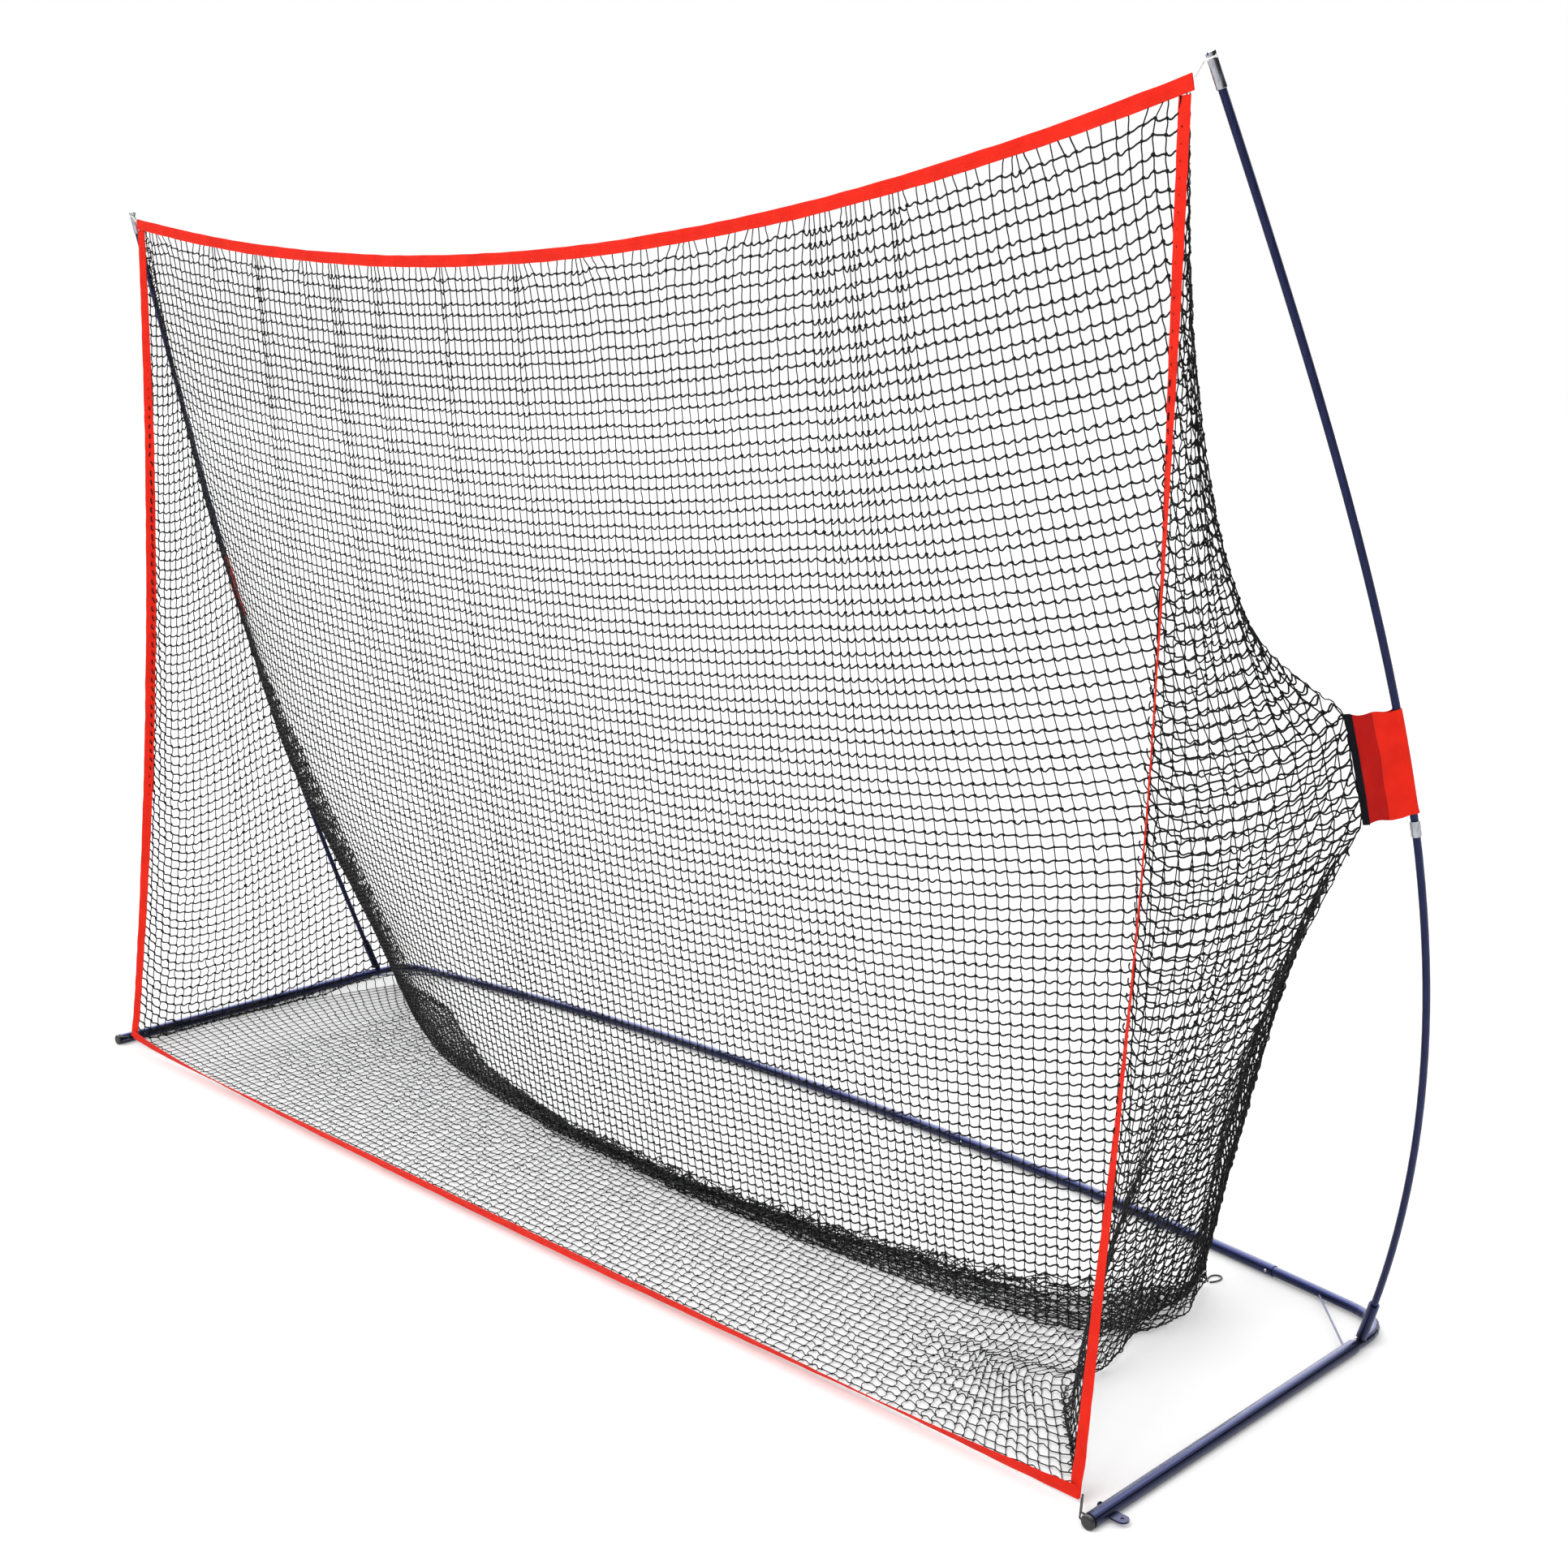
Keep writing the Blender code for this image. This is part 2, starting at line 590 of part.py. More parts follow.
def tapes(mats):
    """The binding round the mouth: upright at the corners, and turned where the netting pulls it."""
    half = TAPE_WIDTH / 2
    ts = np.linspace(0, 1, 33)
    down = Vector((0, 0, -1))
    ribbon("tape_top", [mouth_top(t) for t in ts], [down] * len(ts), mats["tape"], half)
    bottom, turns = [], []
    for t in np.linspace(0.002, 0.998, 33):
        flat = math.sin(PI * t) ** 0.6 * math.radians(80)
        bottom.append(mouth_bottom(t))
        turns.append(Vector((0, math.sin(flat), -math.cos(flat) * 0.5 * (1 + math.cos(flat)))).normalized())
    ribbon("tape_bottom", lift_clear(bottom, turns), turns, mats["tape"])
    for side, sign in SIDES.items():
        points, turns = [], []
        for t in np.linspace(0.0135, 0.980, 33):
            turn = math.radians(12 + 45 * math.sin(PI * t) ** 2)
            points.append(mouth_side(side, t))
            turns.append(Vector((-sign * math.cos(turn), math.sin(turn), 0)))
        ribbon(f"tape_side_{side}", points, turns, mats["tape"], half)


def lift_clear(points, turns):
    """Raises each point so that the tape's lower edge stays just over the ground."""
    lifted = []
    for point, turn in zip(points, turns):
        least = TAPE_WIDTH / 2 * abs(turn.z) + TAPE_THICK + 0.0004
        lifted.append(Vector((point.x, point.y, max(point.z, least))))
    return lifted


def coons(top, bottom, left, right, rows, cols, trim):
    """A grid between four edges, drawn in by trim (low and high share, down and across)."""
    grid = []
    for v in np.linspace(trim[0], 1 - trim[1], rows):
        row = []
        for u in np.linspace(trim[2], 1 - trim[3], cols):
            ruled = top(u).lerp(bottom(u), v) + left(v).lerp(right(v), u)
            corners = top(0).lerp(bottom(0), v).lerp(top(1).lerp(bottom(1), v), u)
            row.append(ruled - corners)
        grid.append(row)
    return grid


def along(points):
    """A function of 0..1 over a smooth curve through the points."""
    fine = smooth_curve(points, 129)
    total = length_of(fine)
    return lambda t: point_along(fine, total * min(max(t, 0.0), 1.0))


def between(a, b):
    a, b = Vector(a), Vector(b)
    return lambda t: a.lerp(b, t)


def netting(mats):
    """The bag: a back panel, two side panels and a floor panel, each a thin closed sheet."""
    net = mats["net"]
    seams = {side: along(SEAM[side]) for side in SIDES}
    foot = along([SEAM["l"][-1], *[(x, y, 0.045) for x, y, _ in FLOOR_SEAM], SEAM["r"][-1]])
    head = [mouth_top(t) + Vector((0, 0.004, -0.030)) for t in np.linspace(0, 1, 17)]
    head = along([SEAM["l"][0], *head[1:-1], SEAM["r"][0]])
    grid = coons(head, foot, seams["l"], seams["r"], 22, 30, (0.012, 0.008, 0.008, 0.008))
    sheet("net_back_panel", grid, NET_THICK, net)
    for side, sign in SIDES.items():
        inset = Vector((-sign * 0.030, 0.006, 0))
        edge = along([mouth_side(side, t) + inset for t in np.linspace(0.02, 0.96, 13)])
        top = between(edge(0), seams[side](0))
        low = between(edge(1), seams[side](1))
        grid = coons(top, low, edge, seams[side], 20, 7, (0.030, 0.012, 0.030, 0.045))
        sheet(f"net_side_panel_{side}", grid, NET_THICK, net)
    lay_floor(mats)


def lay_floor(mats):
    """The floor panel, flat on the ground from the bottom tape to the gathered seam."""
    back = along([(x, y - 0.020, NET_THICK) for x, y, _ in FLOOR_SEAM])
    front = along([(x, -0.462, NET_THICK) for x in (-1.430, -0.7, 0.0, 0.7, 1.430)])
    grid = [[front(u).lerp(back(u), v) for u in np.linspace(0, 1, 25)] for v in np.linspace(0, 1, 6)]
    sheet("net_floor_panel", grid, NET_THICK, mats["net"])
    seam = smooth_curve(FLOOR_SEAM, 41)
    rod("net_floor_seam", seam, FLOOR_SEAM_R, mats["net"], 8)


def sleeve(side, line, mats):
    """A fabric tunnel round the pole with a flat flap to the netting."""
    centres = stretch_of(line, SLEEVE_START, SLEEVE_END, 7)
    bore = POLE_R + 2 * BORE_SLACK
    pipe_with_flap(f"sleeve_{side}", centres, bore, Vector(SLEEVE_FLAP[side]), mats["tape"])
    flap = Vector(SLEEVE_FLAP[side])
    out = flap.normalized()
    near, far = out * (SLEEVE_THICK / 2 + GAP), out * (SLEEVE_THICK / 2 + GAP + BINDING_WIDTH)
    ends = [centres[0] + flap, centres[-1] + flap]
    strip = [ends[0].lerp(ends[1], t) for t in np.linspace(0.0, 1.0, 6)]
    sheet(f"sleeve_binding_{side}", [[p + near, p + far] for p in strip], SLEEVE_THICK, mats["webbing"])


def pipe_with_flap(name, centres, bore, flap, mat):
    """A tube round the pole whose wall runs out into a flat flap."""
    sides = 16
    outer = bore + SLEEVE_WALL
    half = SLEEVE_THICK / 2
    start = math.asin(half / outer)
    verts = []
    toward = Vector((flap.x, flap.y, 0)).normalized()
    up = toward.cross(Vector((0, 0, 1)))
    for centre in centres:
        edge = centre + flap
        loop = [edge + up * half, edge - up * half]
        for k in range(sides + 1):
            turn = -start - (2 * PI - 2 * start) * k / sides
            loop.append(centre + toward * (outer * math.cos(turn)) + up * (outer * math.sin(turn)))
        turns = [2 * PI * k / sides for k in range(sides)]
        inner = [centre + toward * (bore * math.cos(a)) + up * (bore * math.sin(a)) for a in turns]
        verts += loop + inner
    ring = sides + 3
    step = ring + sides
    faces = []
    for i in range(len(centres) - 1):
        for k in range(ring):
            a, b = i * step + k, i * step + (k + 1) % ring
            faces.append((a, b, b + step, a + step))
        for k in range(sides):
            a, b = i * step + ring + k, i * step + ring + (k + 1) % sides
            faces.append((a, a + step, b + step, b))
    bm = bmesh.new()
    made = [bm.verts.new(v) for v in verts]
    for face in faces:
        bm.faces.new([made[k] for k in face])
    for first in (0, (len(centres) - 1) * step):
        loops = []
        for start_at, size in ((first, ring), (first + ring, sides)):
            ids = [made[start_at + k] for k in range(size)]
            for p, q in zip(ids, ids[1:] + ids[:1]):
                loops.append(bm.edges.get((p, q)))
        bmesh.ops.triangle_fill(bm, edges=loops, use_beauty=True)
    bmesh.ops.recalc_face_normals(bm, faces=bm.faces)
    mesh = bpy.data.meshes.new(name)
    bm.to_mesh(mesh)
    bm.free()
    mesh.shade_smooth()
    mesh.set_sharp_from_angle(angle=math.radians(40))
    return add_object(name, mesh, mat)


# Loops and ties


def loop_round(anchor, centre, axis, radius, clear, spread):
    """Out from the anchor, round a post, and back. The legs stay in the groove up to the clear radius."""
    axis = axis.normalized()
    toward = anchor - centre
    toward -= axis * toward.dot(axis)
    toward.normalize()
    across = axis.cross(toward)
    leave = math.acos(min(radius / clear, 1)) + 0.1
    arc = [
        centre + toward * (radius * math.cos(a)) + across * (radius * math.sin(a))
        for a in np.linspace(leave, 2 * PI - leave, 15)
    ]
    bends = [centre + toward * clear + across * (sign * spread) for sign in (1, -1)]
    ends = [anchor + across * (sign * spread * 0.7) for sign in (1, -1)]
    return [ends[0], bends[0], *arc, bends[1], ends[1]]


def corner_loops(side, line, front, inward, mats):
    sign = SIDES[side]
    total = length_of(line)
    neck = point_along(line, total - CAP_HEAD - CAP_NECK / 2)
    axis = line[-1] - point_along(line, total - CAP_HEAD - CAP_NECK - CAP_BODY)
    corner = Vector(MOUTH[f"top_{side}"]) + Vector((sign * 0.004, 0, -0.006))
    path = loop_round(corner, neck, axis, CAP_R - CAP_NECK_CUT + ELASTIC_R + LOOP_SLACK, 0.0115, 0.0036)
    cord(f"top_loop_{side}", path, ELASTIC_R, mats["elastic_pale"])
    groove = front - inward * (CAP_GROOVE / 2)
    low = Vector(MOUTH[f"bottom_{side}"]) + Vector((sign * 0.006, -0.006, 0))
    low.z = 0.022
    path = loop_round(low, groove, inward, CAP_NECK_R + TIE_R + LOOP_SLACK, 0.0170, 0.0050)
    cord(f"bottom_loop_{side}", path, TIE_R, mats["elastic_black"])


def rear_ties(mats):
    """The left rear corner of the bag is tied round the bar, and the right one's loop lies free."""
    x = -1.405
    centre = Vector((x, bar_y(x), FLOOR_Z))
    tangent = Vector((x + 0.01, bar_y(x + 0.01), FLOOR_Z)) - Vector((x - 0.01, bar_y(x - 0.01), FLOOR_Z))
    anchor = Vector((-1.462, 0.322, 0.030))
    path = loop_round(anchor, centre, tangent, ELBOW_R + REAR_TIE_R + LOOP_SLACK, 0.0160, 0.0045)
    cord("rear_tie_l", path, REAR_TIE_R, mats["elastic_black"])
    foot = Vector((1.235, 0.3165, TIE_R + 0.0006))
    loose = []
    for a in np.linspace(0.35, 2 * PI - 0.35, 17):
        wide = 0.013 * math.sin(a) * (0.4 + 0.6 * math.sin(a / 2))
        loose.append(foot + Vector((wide, 0.038 * (1 - math.cos(a)) / 2, 0)))
    cord("rear_tie_r", loose, TIE_R, mats["elastic_black"])


def build():
    clear_scene()
    mats = {
        "paint": make_material("gloss_black_paint", (0.012, 0.013, 0.020), 0.22, 0.3),
        "moulding": make_material("black_moulding", (0.015, 0.015, 0.016), 0.45),
        "pole": make_material("fibreglass_black", (0.014, 0.014, 0.018), 0.30),
        "silver": make_material("nickel_plate", (0.78, 0.80, 0.84), 0.16, 1.0),
        "steel": make_material("spring_steel", (0.50, 0.50, 0.52), 0.30, 1.0),
        "tape": make_material("red_polyester", (0.82, 0.06, 0.02), 0.75),
        "webbing": make_material("black_webbing", (0.02, 0.02, 0.02), 0.85),
        "net": make_material("black_netting", (0.012, 0.012, 0.013), 0.70),
        "elastic_pale": make_material("white_elastic", (0.80, 0.80, 0.78), 0.70),
        "elastic_black": make_material("black_elastic", (0.015, 0.015, 0.015), 0.75),
    }
    for side in SIDES:
        front, inward = side_tube(side, mats)
        end_cap(side, front, inward, mats)
        elbow(side, mats)
        stake_tab(side, front, inward, mats)
        corner_stay(side, mats)
        line = pole(side, mats)
        sleeve(side, line, mats)
        corner_loops(side, line, front, inward, mats)
    rear_bar(mats)
    rear_ties(mats)
    tapes(mats)
    netting(mats)


build()
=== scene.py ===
"""Looks for the bow-pole practice net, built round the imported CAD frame.

Metres, +Z up, -Y towards the player. The netting is a bag of knotted cord: a back panel, two side
panels and a floor panel, each hung or laid between the tapes, the seams and the hem, and then drawn
strand by strand and knot by knot.
"""

import itertools
import math

import bpy
import numpy as np
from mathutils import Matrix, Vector


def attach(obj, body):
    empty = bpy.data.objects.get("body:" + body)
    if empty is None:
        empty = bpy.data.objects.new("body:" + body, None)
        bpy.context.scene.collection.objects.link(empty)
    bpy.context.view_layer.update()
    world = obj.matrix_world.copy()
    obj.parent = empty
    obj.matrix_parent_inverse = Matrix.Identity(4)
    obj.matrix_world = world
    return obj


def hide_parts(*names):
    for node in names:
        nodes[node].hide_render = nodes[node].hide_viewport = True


ROOT = "frame_and_net"
SIDES = {"l": -1, "r": 1}
PI = math.pi
UP = np.array((0.0, 0.0, 1.0))

# The mouth's edges, as the CAD part has them
MOUTH = {
    "top_l": np.array((-1.547, -0.326, 2.072)),
    "top_r": np.array((1.544, -0.330, 2.128)),
    "bottom_l": np.array((-1.496, -0.506, 0.034)),
    "bottom_r": np.array((1.548, -0.483, 0.021)),
}
TOP_SAG, TOP_BACK = 0.155, 0.030
EDGE_BACK = 0.030
BOTTOM_FRONT = 0.012
GROUND_LIE = 0.016
TAPE_WIDTH, TAPE_POINTS = 0.024, 260
SIDE_TAPE_RUN, SIDE_TAPE_LAP = (0.0135, 1.003), 0.0024  # shares of the edge, and how far its end is in front
CLOTH = 0.0007  # one layer of tape or sleeve fabric

# The poles, sleeves and loops, as the CAD part has them
FRONT_X = {"l": 1.535, "r": 1.595}
CORNER_X, SIDE_TUBE_BACK_Y, HALF_DEPTH, FLOOR_Z = 1.578, 0.262, 0.532, 0.0127
CAP_FLANGE, CAP_GROOVE, CAP_NECK_R = 0.0050, 0.0046, 0.0072
BAR_END_X, BAR_END_Y, BAR_BOW = 1.46, 0.406, 0.115
POLE_FOOT, POLE_LOW_PULL = (1.575, 0.289, 0.012), (1.888, 0.131, 0.781)
POLE_TIP_XY, POLE_TIP_Z = (1.570, -0.327), {"l": 2.091, "r": 2.154}
POLE_TOP_PULL = np.array((0.170, 0.253, -0.747))
CAP_BODY, CAP_NECK, CAP_HEAD, CAP_R, CAP_NECK_CUT = 0.042, 0.0045, 0.0065, 0.0083, 0.0028
ELBOW_R, ELASTIC_R, TIE_R, REAR_TIE_R, LOOP_SLACK = 0.0098, 0.0015, 0.0017, 0.0011, 0.0004
TIE_X, TIE_ANCHOR = -1.405, (-1.462, 0.322, 0.030)
LOOSE_TIE_AT, LOOSE_TIE_SIZE, LOOSE_TIE_OPEN = (1.235, 0.3165), (0.013, 0.038), 0.35
SLEEVE_START, SLEEVE_END = 1.0892, 1.273
SLEEVE_FLAP = {"l": (0.077, -0.043, -0.004), "r": (-0.039, -0.068, -0.006)}
SLEEVE_R, SLEEVE_GAP = 0.0078, 0.0008  # middle of the cloth round the pole, half the gap of the doubled flap
SLEEVE_DOUBLED_AND_SHADED = 0.42  # share of the flap that is sewn double, its darker red painted shade
BINDING_WIDTH = 0.011

# The netting bag: its seams, and the lattice of each panel
SEAM = {  # from the top corner past the sleeve to the rear corner
    "l": [
        (-1.538, -0.310, 2.048), (-1.572, -0.262, 1.850), (-1.600, -0.212, 1.650), (-1.625, -0.160, 1.450),
        (-1.642, -0.112, 1.300), (-1.6535, -0.081, 1.215), (-1.662, -0.053, 1.127), (-1.668, -0.026, 1.040),
        (-1.630, 0.040, 0.830), (-1.582, 0.128, 0.580), (-1.528, 0.214, 0.340), (-1.462, 0.322, 0.030),
    ],
    "r": [
        (1.528, -0.312, 2.103), (1.496, -0.245, 1.830), (1.491, -0.210, 1.660), (1.489, -0.175, 1.520),
        (1.514, -0.149, 1.407), (1.576, -0.125, 1.304), (1.655, -0.110, 1.246), (1.698, -0.100, 1.215),
        (1.705, -0.074, 1.127), (1.710, -0.048, 1.040),
        (1.640, -0.014, 0.945), (1.522, 0.050, 0.750), (1.436, 0.112, 0.564), (1.336, 0.180, 0.364),
        (1.272, 0.247, 0.160), (1.240, 0.300, 0.010),
    ],
}
BASE_SEAM = {  # from the mouth's lower corner to the rear one
    "l": [(-1.500, -0.490, 0.024), (-1.520, -0.200, 0.020), (-1.512, 0.100, 0.020), (-1.462, 0.322, 0.030)],
    "r": [
        (1.530, -0.470, 0.018), (1.487, -0.426, 0.010), (1.422, -0.350, 0.007), (1.359, -0.283, 0.006),
        (1.296, -0.212, 0.006), (1.280, -0.172, 0.009), (1.306, -0.146, 0.012), (1.310, -0.112, 0.007),
        (1.290, -0.040, 0.005), (1.268, 0.040, 0.006), (1.292, 0.086, 0.012), (1.286, 0.150, 0.006),
        (1.288, 0.176, 0.007), (1.262, 0.235, 0.012), (1.240, 0.300, 0.010),
    ],
}
HEM = [
    (-1.462, 0.322, 0.030), (-1.333, 0.246, 0.016), (-1.084, 0.127, 0.012), (-0.836, 0.030, 0.010),
    (-0.480, -0.040, 0.010), (-0.048, -0.088, 0.010), (0.380, -0.078, 0.010), (0.726, -0.024, 0.010),
    (0.980, 0.035, 0.010), (1.110, 0.103, 0.010), (1.190, 0.200, 0.012), (1.240, 0.300, 0.010),
]
BACK_ROWS, BACK_COLS = 100, 152
BACK_BELLY = 0.10
PITCH_AT = (0.0, 0.25, 0.5, 0.75, 1.0)  # shares of the back panel's height
BACK_PITCH = (0.0215, 0.0228, 0.0238, 0.0228, 0.0220)  # knot to knot along a row
BACK_DROP = (0.0218, 0.0213, 0.0205, 0.0199, 0.0196)  # knot to knot down a column
EDGE_STRETCH, EDGE_REACH = 0.06, 0.08  # longer drops near the side seams, which hold the weight
TUCK = (0.125, 0.025)  # how far the lower left part is drawn back, and up
TUCK_FROM, TUCK_TO, TUCK_PEAK = (0.50, 0.90), (0.945, 1.0), 0.12  # shares of the height and of the width
# For each level: knots skipped, rounds, first and last drop
BACK_LEVELS = ((4, 1500, 1e-3, 1e-4), (2, 1500, 4e-4, 5e-5), (1, 700, 1.5e-4, 2e-5))
BACK_SLACK = (1.035, 1.008)  # cord length over the distance between its knots, across and down
SIDE_ROWS, SIDE_COLS = 90, 36
SIDE_PITCH, SIDE_DROP = 0.0246, 0.0236
SIDE_LEVEL, SIDE_SLACK = (900, 3e-4, 2e-5), (1.03, 1.01)
FLOOR_ROWS, FLOOR_COLS = 31, 128
FLOOR_PITCH = (0.0242, 0.0202)  # row spacing at the ends and in the middle
HEM_BAND = (0.012, 0.045)  # how deep the heap of spare rows is, left and right
HEM_FOLDS = [(31, 3), (47, -6), (63, 9), (19, -4), (90, 7), (71, -11)]
FLOOR_CLEAR = 0.004
ROW_CORD_R, COLUMN_CORD_R = 0.00130, 0.00102
ROW_LIE, COLUMN_LIE = (0.06, 0.30, 7), (0.025, 0.8, 5)  # slope at the knots, stray sideways, points
KNOT_SIZE = (0.0028, 0.0024, 0.0019)
THICK = {"back": 1.24, "side_l": 1.38, "side_r": 1.08, "floor": 0.88}  # how far the cord has fluffed out
STRAND_SIDES = 4
BACK_ROW_CUTS, BACK_COL_CUTS = (0, 33, 67, BACK_ROWS), (0, 50, 101, BACK_COLS)  # where pieces meet
FLOOR_COL_CUTS, FLOOR_CELL = (0, 43, 86, FLOOR_COLS), (0.0236, 0.0225)
LACING_STEP, LACING_TURN, LACING_SWAY = 0.006, 0.021, 0.027
LACING_R = {"hem": 0.00135, "base_l": 0.0012, "base_r": 0.00135, "side_l": 0.0010, "side_r": 0.0010}

STITCH_PITCH, STITCH_SHARE, STITCH_R, STITCH_MARGIN = 0.0042, 0.78, 0.00028, 0.004

# The studio
CAMERA_AT, CAMERA_DOWN, CAMERA_TURN, CAMERA_LENS = (3.291, -2.820, 1.742), 11.76, 45.79, 47.09
KEY_AT, KEY_AIM, KEY_SIZE, KEY_POWER = (1.5, -4.5, 5.0), (0, 0, 0.9), 3.0, 160
FLOOR_REACH, FLOOR_GLOW = 60.0, 0.09
SOFTBOX_TOWARD = (-0.50, 0.30, 0.81)
SOFTBOX_RANGE = (0.35, 0.95, 0.04, 7.0)  # cosine of the angle to it, from and to, and the brightness there

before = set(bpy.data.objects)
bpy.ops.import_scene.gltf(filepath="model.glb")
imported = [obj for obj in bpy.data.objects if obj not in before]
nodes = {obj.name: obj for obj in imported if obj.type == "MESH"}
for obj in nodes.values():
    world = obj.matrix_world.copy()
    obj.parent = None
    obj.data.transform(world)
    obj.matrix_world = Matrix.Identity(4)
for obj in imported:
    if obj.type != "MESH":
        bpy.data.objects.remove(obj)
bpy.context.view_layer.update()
rng = np.random.default_rng(7)


# Materials


def add_node(tree, kind, inputs, **settings):
    """A shader node with its settings and inputs; an input given as a socket is linked."""
    made = tree.nodes.new("ShaderNode" + kind)
    for name, value in settings.items():
        setattr(made, name, value)
    for name, value in inputs.items():
        if isinstance(value, bpy.types.NodeSocket):
            tree.links.new(value, made.inputs[name])
        else:
            made.inputs[name].default_value = value
    return made


def noise(tree, scale, detail=4.0, stretch=(1, 1, 1)):
    """Noise in object space, stretched along an axis."""
    place = add_node(tree, "TexCoord", {})
    mapping = add_node(tree, "Mapping", {"Vector": place.outputs["Object"], "Scale": stretch})
    inputs = {"Vector": mapping.outputs["Vector"], "Scale": scale, "Detail": detail}
    return add_node(tree, "TexNoise", inputs).outputs["Fac"]


def ramp(tree, source, low, high, ends=(0.3, 0.7)):
    """Colour from low to high while the source runs between the ends."""
    made = add_node(tree, "ValToRGB", {"Fac": source})
    for element, position, colour in zip(made.color_ramp.elements, ends, (low, high)):
        element.position, element.color = position, (*colour, 1)
    return made.outputs["Color"]


def spread(tree, source, low, high):
    """Noise mapped from its middle range to low..high."""
    inputs = {"Value": source, "From Min": 0.3, "From Max": 0.7, "To Min": low, "To Max": high}
    return add_node(tree, "MapRange", inputs).outputs["Result"]


def bump(tree, height, distance):
    return add_node(tree, "Bump", {"Height": height, "Distance": distance, "Strength": 1.0}).outputs["Normal"]


def new_material(name, constants):
    """A material and its node tree and shader, with constants set on the shader."""
    mat = bpy.data.materials.new(name)
    mat.use_nodes = True
    shader = mat.node_tree.nodes["Principled BSDF"]
    for key, value in constants.items():
        shader.inputs[key].default_value = value
    return mat, mat.node_tree, shader


def surface(name, colour, roughness, relief, constants):
    """A material whose colour, roughness and relief follow noise; each names its noise and then its range."""
    mat, tree, shader = new_material(name, constants)
    tree.links.new(ramp(tree, noise(tree, *colour[0]), *colour[1:]), shader.inputs["Base Color"])
    tree.links.new(spread(tree, noise(tree, *roughness[0]), *roughness[1:]), shader.inputs["Roughness"])
    tree.links.new(bump(tree, noise(tree, *relief[0]), relief[1]), shader.inputs["Normal"])
    return mat


def plated(name, low, high, roughness, stretch):
    """Bright plating with fine lines where it was turned or drawn."""
    lines = (220, 4, stretch)
    rough = (lines, roughness - 0.06, roughness + 0.08)
    return surface(name, (lines, low, high), rough, (lines, 0.00004), {"Metallic": 1.0})


def braided(name, dark, light):
    """Braided elastic cord."""
    plait = (1400, 2)
    return surface(name, (plait, dark, light, (0.35, 0.65)), (plait, 0.6, 0.8), (plait, 0.0002), {})


def woven(name, dark, light, pitch, roughness=0.72):
    """Plain-weave fabric: two crossed sets of yarns and a mottled dye."""
    mat, tree, shader = new_material(name, {"Specular IOR Level": 0.12})
    place = add_node(tree, "TexCoord", {})
    inputs = {"Vector": place.outputs["Object"], "Scale": 0.314 / pitch, "Distortion": 0.6, "Detail": 1.0}
    yarns = [
        add_node(tree, "TexWave", inputs, wave_type="BANDS", bands_direction=axis).outputs["Fac"]
        for axis in ("X", "Z")
    ]
    cross = add_node(tree, "Math", dict(enumerate(yarns)), operation="MAXIMUM").outputs[0]
    dye = spread(tree, noise(tree, 24, 5), 0.05, 0.6)
    mottle = add_node(tree, "Math", {0: cross, 1: 0.35, 2: dye}, operation="MULTIPLY_ADD").outputs[0]
    rough = spread(tree, noise(tree, 60), roughness - 0.06, roughness + 0.08)
    tree.links.new(ramp(tree, mottle, dark, light, (0.0, 1.0)), shader.inputs["Base Color"])
    tree.links.new(rough, shader.inputs["Roughness"])
    tree.links.new(bump(tree, cross, 0.00012), shader.inputs["Normal"])
    return mat


def yarn(name, colour, roughness):
    """Netting cord. Its relief is in the strands and knots themselves."""
    constants = {"Base Color": (*colour, 1), "Roughness": roughness, "Specular IOR Level": 0.25}
    return new_material(name, constants)[0]


CLOUDS, PEEL, STREAKS, GRAIN = (9,), (700, 2), (160, 3, (1, 1, 0.04)), (260, 5)
PAINT = surface(
    "gloss_black_powder_coat", (CLOUDS, (0.0030, 0.0034, 0.0070), (0.0070, 0.0078, 0.0150)),
    ((40,), 0.24, 0.34), (PEEL, 0.00006), {"Specular Tint": (0.20, 0.27, 1.0, 1), "IOR": 1.58},
)
ROD = surface(
    "black_fibreglass_rod", (STREAKS, (0.0055, 0.0065, 0.0200), (0.0110, 0.0125, 0.0360), (0.35, 0.65)),
    (STREAKS, 0.28, 0.42), (STREAKS, 0.00005), {"Specular Tint": (0.30, 0.36, 1.0, 1)},
)
PLASTIC = surface(
    "black_moulded_plastic", (GRAIN, (0.010, 0.010, 0.011), (0.020, 0.020, 0.022)),
    (GRAIN, 0.36, 0.52), (GRAIN, 0.00008), {},
)
NICKEL = plated("nickel_plate", (0.26, 0.27, 0.30), (0.46, 0.47, 0.51), 0.22, (1, 1, 0.08))
SPRING = plated("spring_steel", (0.36, 0.36, 0.38), (0.55, 0.55, 0.57), 0.34, (0.1, 1, 1))
RED = woven("red_polyester", (0.54, 0.009, 0.003), (0.76, 0.019, 0.006), 0.0006)
# The sewn-double hem's darker red is painted shade, not a second dye.
RED_SHADED_HEM = woven("red_polyester_doubled_painted_shade", (0.30, 0.003, 0.002), (0.46, 0.006, 0.003), 0.0006)
WEBBING = woven("black_webbing", (0.0016, 0.0018, 0.0034), (0.0060, 0.0064, 0.0105), 0.0008, 0.85)
THREAD = yarn("red_thread", (0.70, 0.045, 0.020), 0.6)
NET_YARNS = [
    yarn("net_cord_black", (0.0016, 0.0018, 0.0028), 0.75),
    yarn("net_cord_worn", (0.0040, 0.0043, 0.0060), 0.82),
    yarn("net_knot", (0.0012, 0.0013, 0.0020), 0.88),
]
PALE_ELASTIC = braided("white_elastic", (0.52, 0.52, 0.50), (0.86, 0.86, 0.84))
BLACK_ELASTIC = braided("black_elastic", (0.006, 0.006, 0.007), (0.020, 0.020, 0.022))

